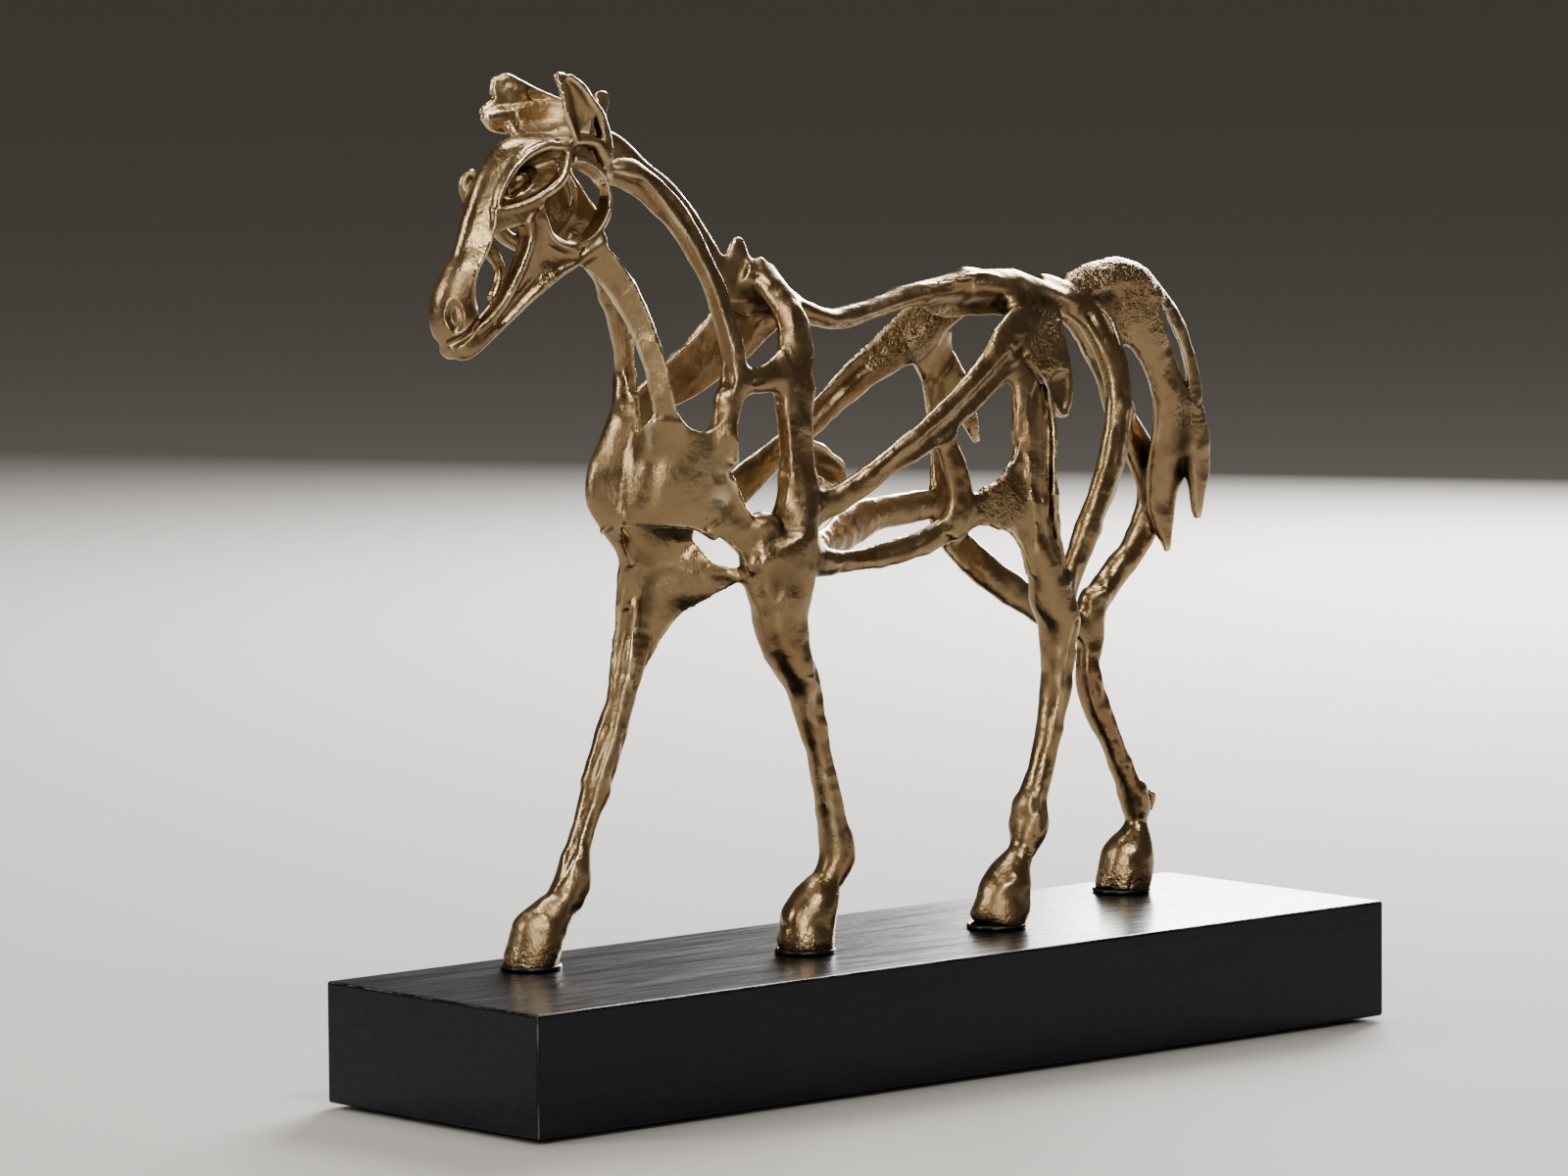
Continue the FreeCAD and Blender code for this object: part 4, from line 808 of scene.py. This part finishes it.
def bronze_material():
    """Brown patina with painted shade where it is shut in, coppery clouds, and edges lightened by
    rubbed wear and painted highlight.
    """
    n = Nodes("antique_bronze")
    worn_and_lit = n.value("edge_wear_and_highlight")
    painted_shade = n.value("hollow_shade")
    cloudy = n.noise(28, 4, 0.6)
    mottled = n.noise(160, 4, 0.65)
    # painted shade from the attribute of shut-in places, mixed with random patina clouds and
    # mottling, darkens the body colour
    shade_and_patina = n.math("ADD", painted_shade, n.math("MULTIPLY", n.math("SUBTRACT", cloudy, 0.5), 0.8))
    shade_and_patina = n.math("ADD", shade_and_patina, n.math("MULTIPLY", n.math("SUBTRACT", mottled, 0.5), 0.35))
    shade_and_patina = n.ramp(shade_and_patina, 0.0, 0.7)
    body = n.mix(shade_and_patina, (0.35, 0.255, 0.150, 1), (0.048, 0.030, 0.019, 1))
    copper = n.ramp(n.noise(24, 2, 0.5), 0.56, 0.72, 0.0, 0.4)
    body = n.mix(copper, body, (0.26, 0.125, 0.07, 1))
    # edges lighten towards pale metal: partly rubbed wear, partly painted highlight
    rubbed_and_lit = n.math("ADD", worn_and_lit, n.math("MULTIPLY", n.math("SUBTRACT", cloudy, 0.5), 1.1))
    rubbed_and_lit = n.math("MULTIPLY", n.ramp(rubbed_and_lit, 0.2, 0.75), 0.75)
    body = n.mix(rubbed_and_lit, body, (0.82, 0.69, 0.48, 1))
    n.link(body, n.shader.inputs["Base Color"])
    n.shader.inputs["Metallic"].default_value = 1.0
    rough = n.ramp(n.noise(60, 4, 0.6), 0.3, 0.75, 0.24, 0.46)
    rough = n.math("ADD", rough, n.math("MULTIPLY", shade_and_patina, 0.12))
    rough = n.math("SUBTRACT", rough, n.math("MULTIPLY", rubbed_and_lit, 0.12), True)
    n.link(rough, n.shader.inputs["Roughness"])
    # casting pits in a few patches, then chasing marks from coarse to fine
    pits = n.add("ShaderNodeTexVoronoi", feature="F1")
    pits.inputs["Scale"].default_value = 170
    n.link(n.place, pits.inputs["Vector"])
    pit = n.ramp(pits.outputs["Distance"], 0.04, 0.16)
    few = n.ramp(n.noise(45, 2, 0.5), 0.56, 0.66)
    pit = n.math("SUBTRACT", 1.0, n.math("MULTIPLY", few, n.math("SUBTRACT", 1.0, pit)))
    normal = n.bump(n.noise(95, 3, 0.5), 0.32, 0.0024)
    normal = n.bump(n.noise(300, 3, 0.55), 0.24, 0.0010, normal)
    beaten = n.math("MULTIPLY", n.noise(620, 2, 0.5), n.value("hammer"))
    normal = n.bump(beaten, 0.75, 0.0016, normal)
    normal = n.bump(n.noise(1500, 2, 0.6, n.scaled(1, 1, 0.12)), 0.16, 0.0004, normal)
    normal = n.bump(pit, 0.5, 0.0006, normal)
    n.link(normal, n.shader.inputs["Normal"])
    return n.material


def lacquer_material():
    n = Nodes("black_lacquer")
    grain = n.noise(90, 5, 0.6, n.scaled(0.16, 1.6, 1.6), 1.2)
    streak = n.noise(420, 3, 0.6, n.scaled(0.05, 1.0, 1.0), 0.4)
    tone = n.ramp(grain, 0.3, 0.75)
    body = n.mix(tone, (0.0045, 0.0052, 0.0085, 1), (0.011, 0.012, 0.016, 1))
    # pale lines along the top edges: painted edge highlight, partly lacquer rubbed thin
    apart = n.add("ShaderNodeSeparateXYZ")
    n.link(n.place, apart.inputs[0])
    end = n.ramp(n.math("ABSOLUTE", apart.outputs[0]), 0.2277, 0.2283)
    side = n.ramp(n.math("ABSOLUTE", apart.outputs[1]), 0.0632, 0.0638)
    top = n.ramp(apart.outputs[2], 0.0492, 0.0498)
    edge = n.math("MULTIPLY", n.math("MAXIMUM", end, side), top)
    edge = n.math("MAXIMUM", edge, n.math("MULTIPLY", end, side))
    edge = n.math("MULTIPLY", edge, n.ramp(n.noise(60, 5, 0.7), 0.42, 0.6))
    body = n.mix(edge, body, (0.22, 0.19, 0.17, 1))
    n.link(body, n.shader.inputs["Base Color"])
    rough = n.ramp(grain, 0.25, 0.8, 0.22, 0.34)
    n.link(rough, n.shader.inputs["Roughness"])
    n.shader.inputs["IOR"].default_value = 1.36
    n.shader.inputs["Coat Weight"].default_value = 0.12
    n.shader.inputs["Coat Roughness"].default_value = 0.16
    normal = n.bump(grain, 0.08, 0.0010)
    normal = n.bump(streak, 0.08, 0.0004, normal)
    n.link(normal, n.shader.inputs["Normal"])
    return n.material


def plain_material(name, colour, rough, metal, scale, depth):
    n = Nodes(name)
    shade = n.noise(scale, 4, 0.6)
    body = n.mix(n.ramp(shade, 0.3, 0.7), tuple(c * 0.75 for c in colour) + (1,), colour + (1,))
    n.link(body, n.shader.inputs["Base Color"])
    n.link(n.ramp(shade, 0.3, 0.8, rough, rough + 0.15), n.shader.inputs["Roughness"])
    n.shader.inputs["Metallic"].default_value = metal
    n.link(n.bump(shade, 0.3, depth), n.shader.inputs["Normal"])
    return n.material


bronze = bronze_material()
lacquer = lacquer_material()
bead = plain_material("setting_bead", (0.012, 0.011, 0.011), 0.25, 0.0, 300, 0.0004)
steel = plain_material("zinc_steel", (0.55, 0.55, 0.56), 0.3, 1.0, 400, 0.0002)
felt = plain_material("felt", (0.03, 0.03, 0.03), 0.9, 0.0, 900, 0.0006)

for number, name in enumerate(CASTINGS):
    faces = quads[face_owner == number]
    if len(faces):
        piece = skin_piece("cast_" + name, faces, bronze)
        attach(piece, "root")
        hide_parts(name)

for name, material in (("plinth", lacquer), ("foot_pads", felt), ("hoof_studs", steel),
                       ("stud_washers", steel), ("stud_nuts", steel), ("hoof_beads", bead)):
    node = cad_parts[name]
    for i in range(len(node.material_slots)):
        node.material_slots[i].material = material

# ---- studio -------------------------------------------------------------
floor_mesh = bpy.data.meshes.new("floor")
floor_mesh.from_pydata([(-30, -30, 0), (30, -30, 0), (30, 30, 0), (-30, 30, 0)], [], [(0, 1, 2, 3)])
floor = bpy.data.objects.new("floor", floor_mesh)
bpy.context.collection.objects.link(floor)
floor_look = bpy.data.materials.new("pale_floor")
floor_look.use_nodes = True
floor_shader = floor_look.node_tree.nodes["Principled BSDF"]
floor_shader.inputs["Base Color"].default_value = (0.47, 0.455, 0.435, 1)
floor_shader.inputs["Roughness"].default_value = 0.85
floor_mesh.materials.append(floor_look)

world = bpy.data.worlds.new("studio")
bpy.context.scene.world = world
world.use_nodes = True
backdrop = world.node_tree.nodes["Background"]
backdrop.inputs["Color"].default_value = (0.62, 0.55, 0.49, 1)
backdrop.inputs["Strength"].default_value = 0.20


def softbox(name, where, size, power, colour):
    """A rectangular lamp aimed at the middle of the horse."""
    data = bpy.data.lights.new(name, "AREA")
    data.shape = "RECTANGLE"
    data.size, data.size_y = size
    data.energy = power
    data.color = colour
    lamp = bpy.data.objects.new(name, data)
    lamp.location = where
    aim = Vector((0.0, 0.0, 0.22)) - Vector(where)
    lamp.rotation_euler = aim.to_track_quat("-Z", "Y").to_euler()
    lamp.visible_camera = False
    bpy.context.collection.objects.link(lamp)


softbox("window", (1.9, 1.2, 1.1), (1.1, 1.5), 105, (1.0, 0.99, 0.98))
softbox("front_fill", (-1.7, -1.7, 0.8), (0.4, 1.2), 16, (1.0, 0.96, 0.89))
softbox("left_strip", (-2.1, 0.9, 1.3), (0.4, 1.4), 18, (1.0, 0.97, 0.93))
softbox("overhead", (-0.5, -1.5, 2.0), (1.1, 0.6), 20, (1.0, 0.98, 0.94))
softbox("top", (0.1, 0.4, 2.2), (0.9, 0.9), 18, (1.0, 1.0, 1.0))

# camera solved from the plinth's corners
CAMERA_PLACE = (-2.33907, -2.58528, 0.54306)
FOCAL_LENGTH = 200.87
azimuth, elevation, roll = math.radians(-41.585), math.radians(5.744), math.radians(-0.427)
back = Vector((math.sin(azimuth) * math.cos(elevation), -math.cos(azimuth) * math.cos(elevation),
               math.sin(elevation)))
right = Vector((0, 0, 1)).cross(back).normalized()
up = back.cross(right)
right, up = (math.cos(roll) * right + math.sin(roll) * up,
             math.cos(roll) * up - math.sin(roll) * right)
camera_data = bpy.data.cameras.new("camera")
camera_data.lens = FOCAL_LENGTH
camera_data.sensor_width = 36.0
camera_data.clip_end = 100.0
camera = bpy.data.objects.new("camera", camera_data)
turn = Matrix((right, up, back)).transposed().to_4x4()
camera.matrix_world = Matrix.Translation(CAMERA_PLACE) @ turn
bpy.context.collection.objects.link(camera)
bpy.context.scene.camera = camera
bpy.context.scene.view_settings.view_transform = "AgX"
bpy.context.scene.view_settings.look = "AgX - Medium High Contrast"
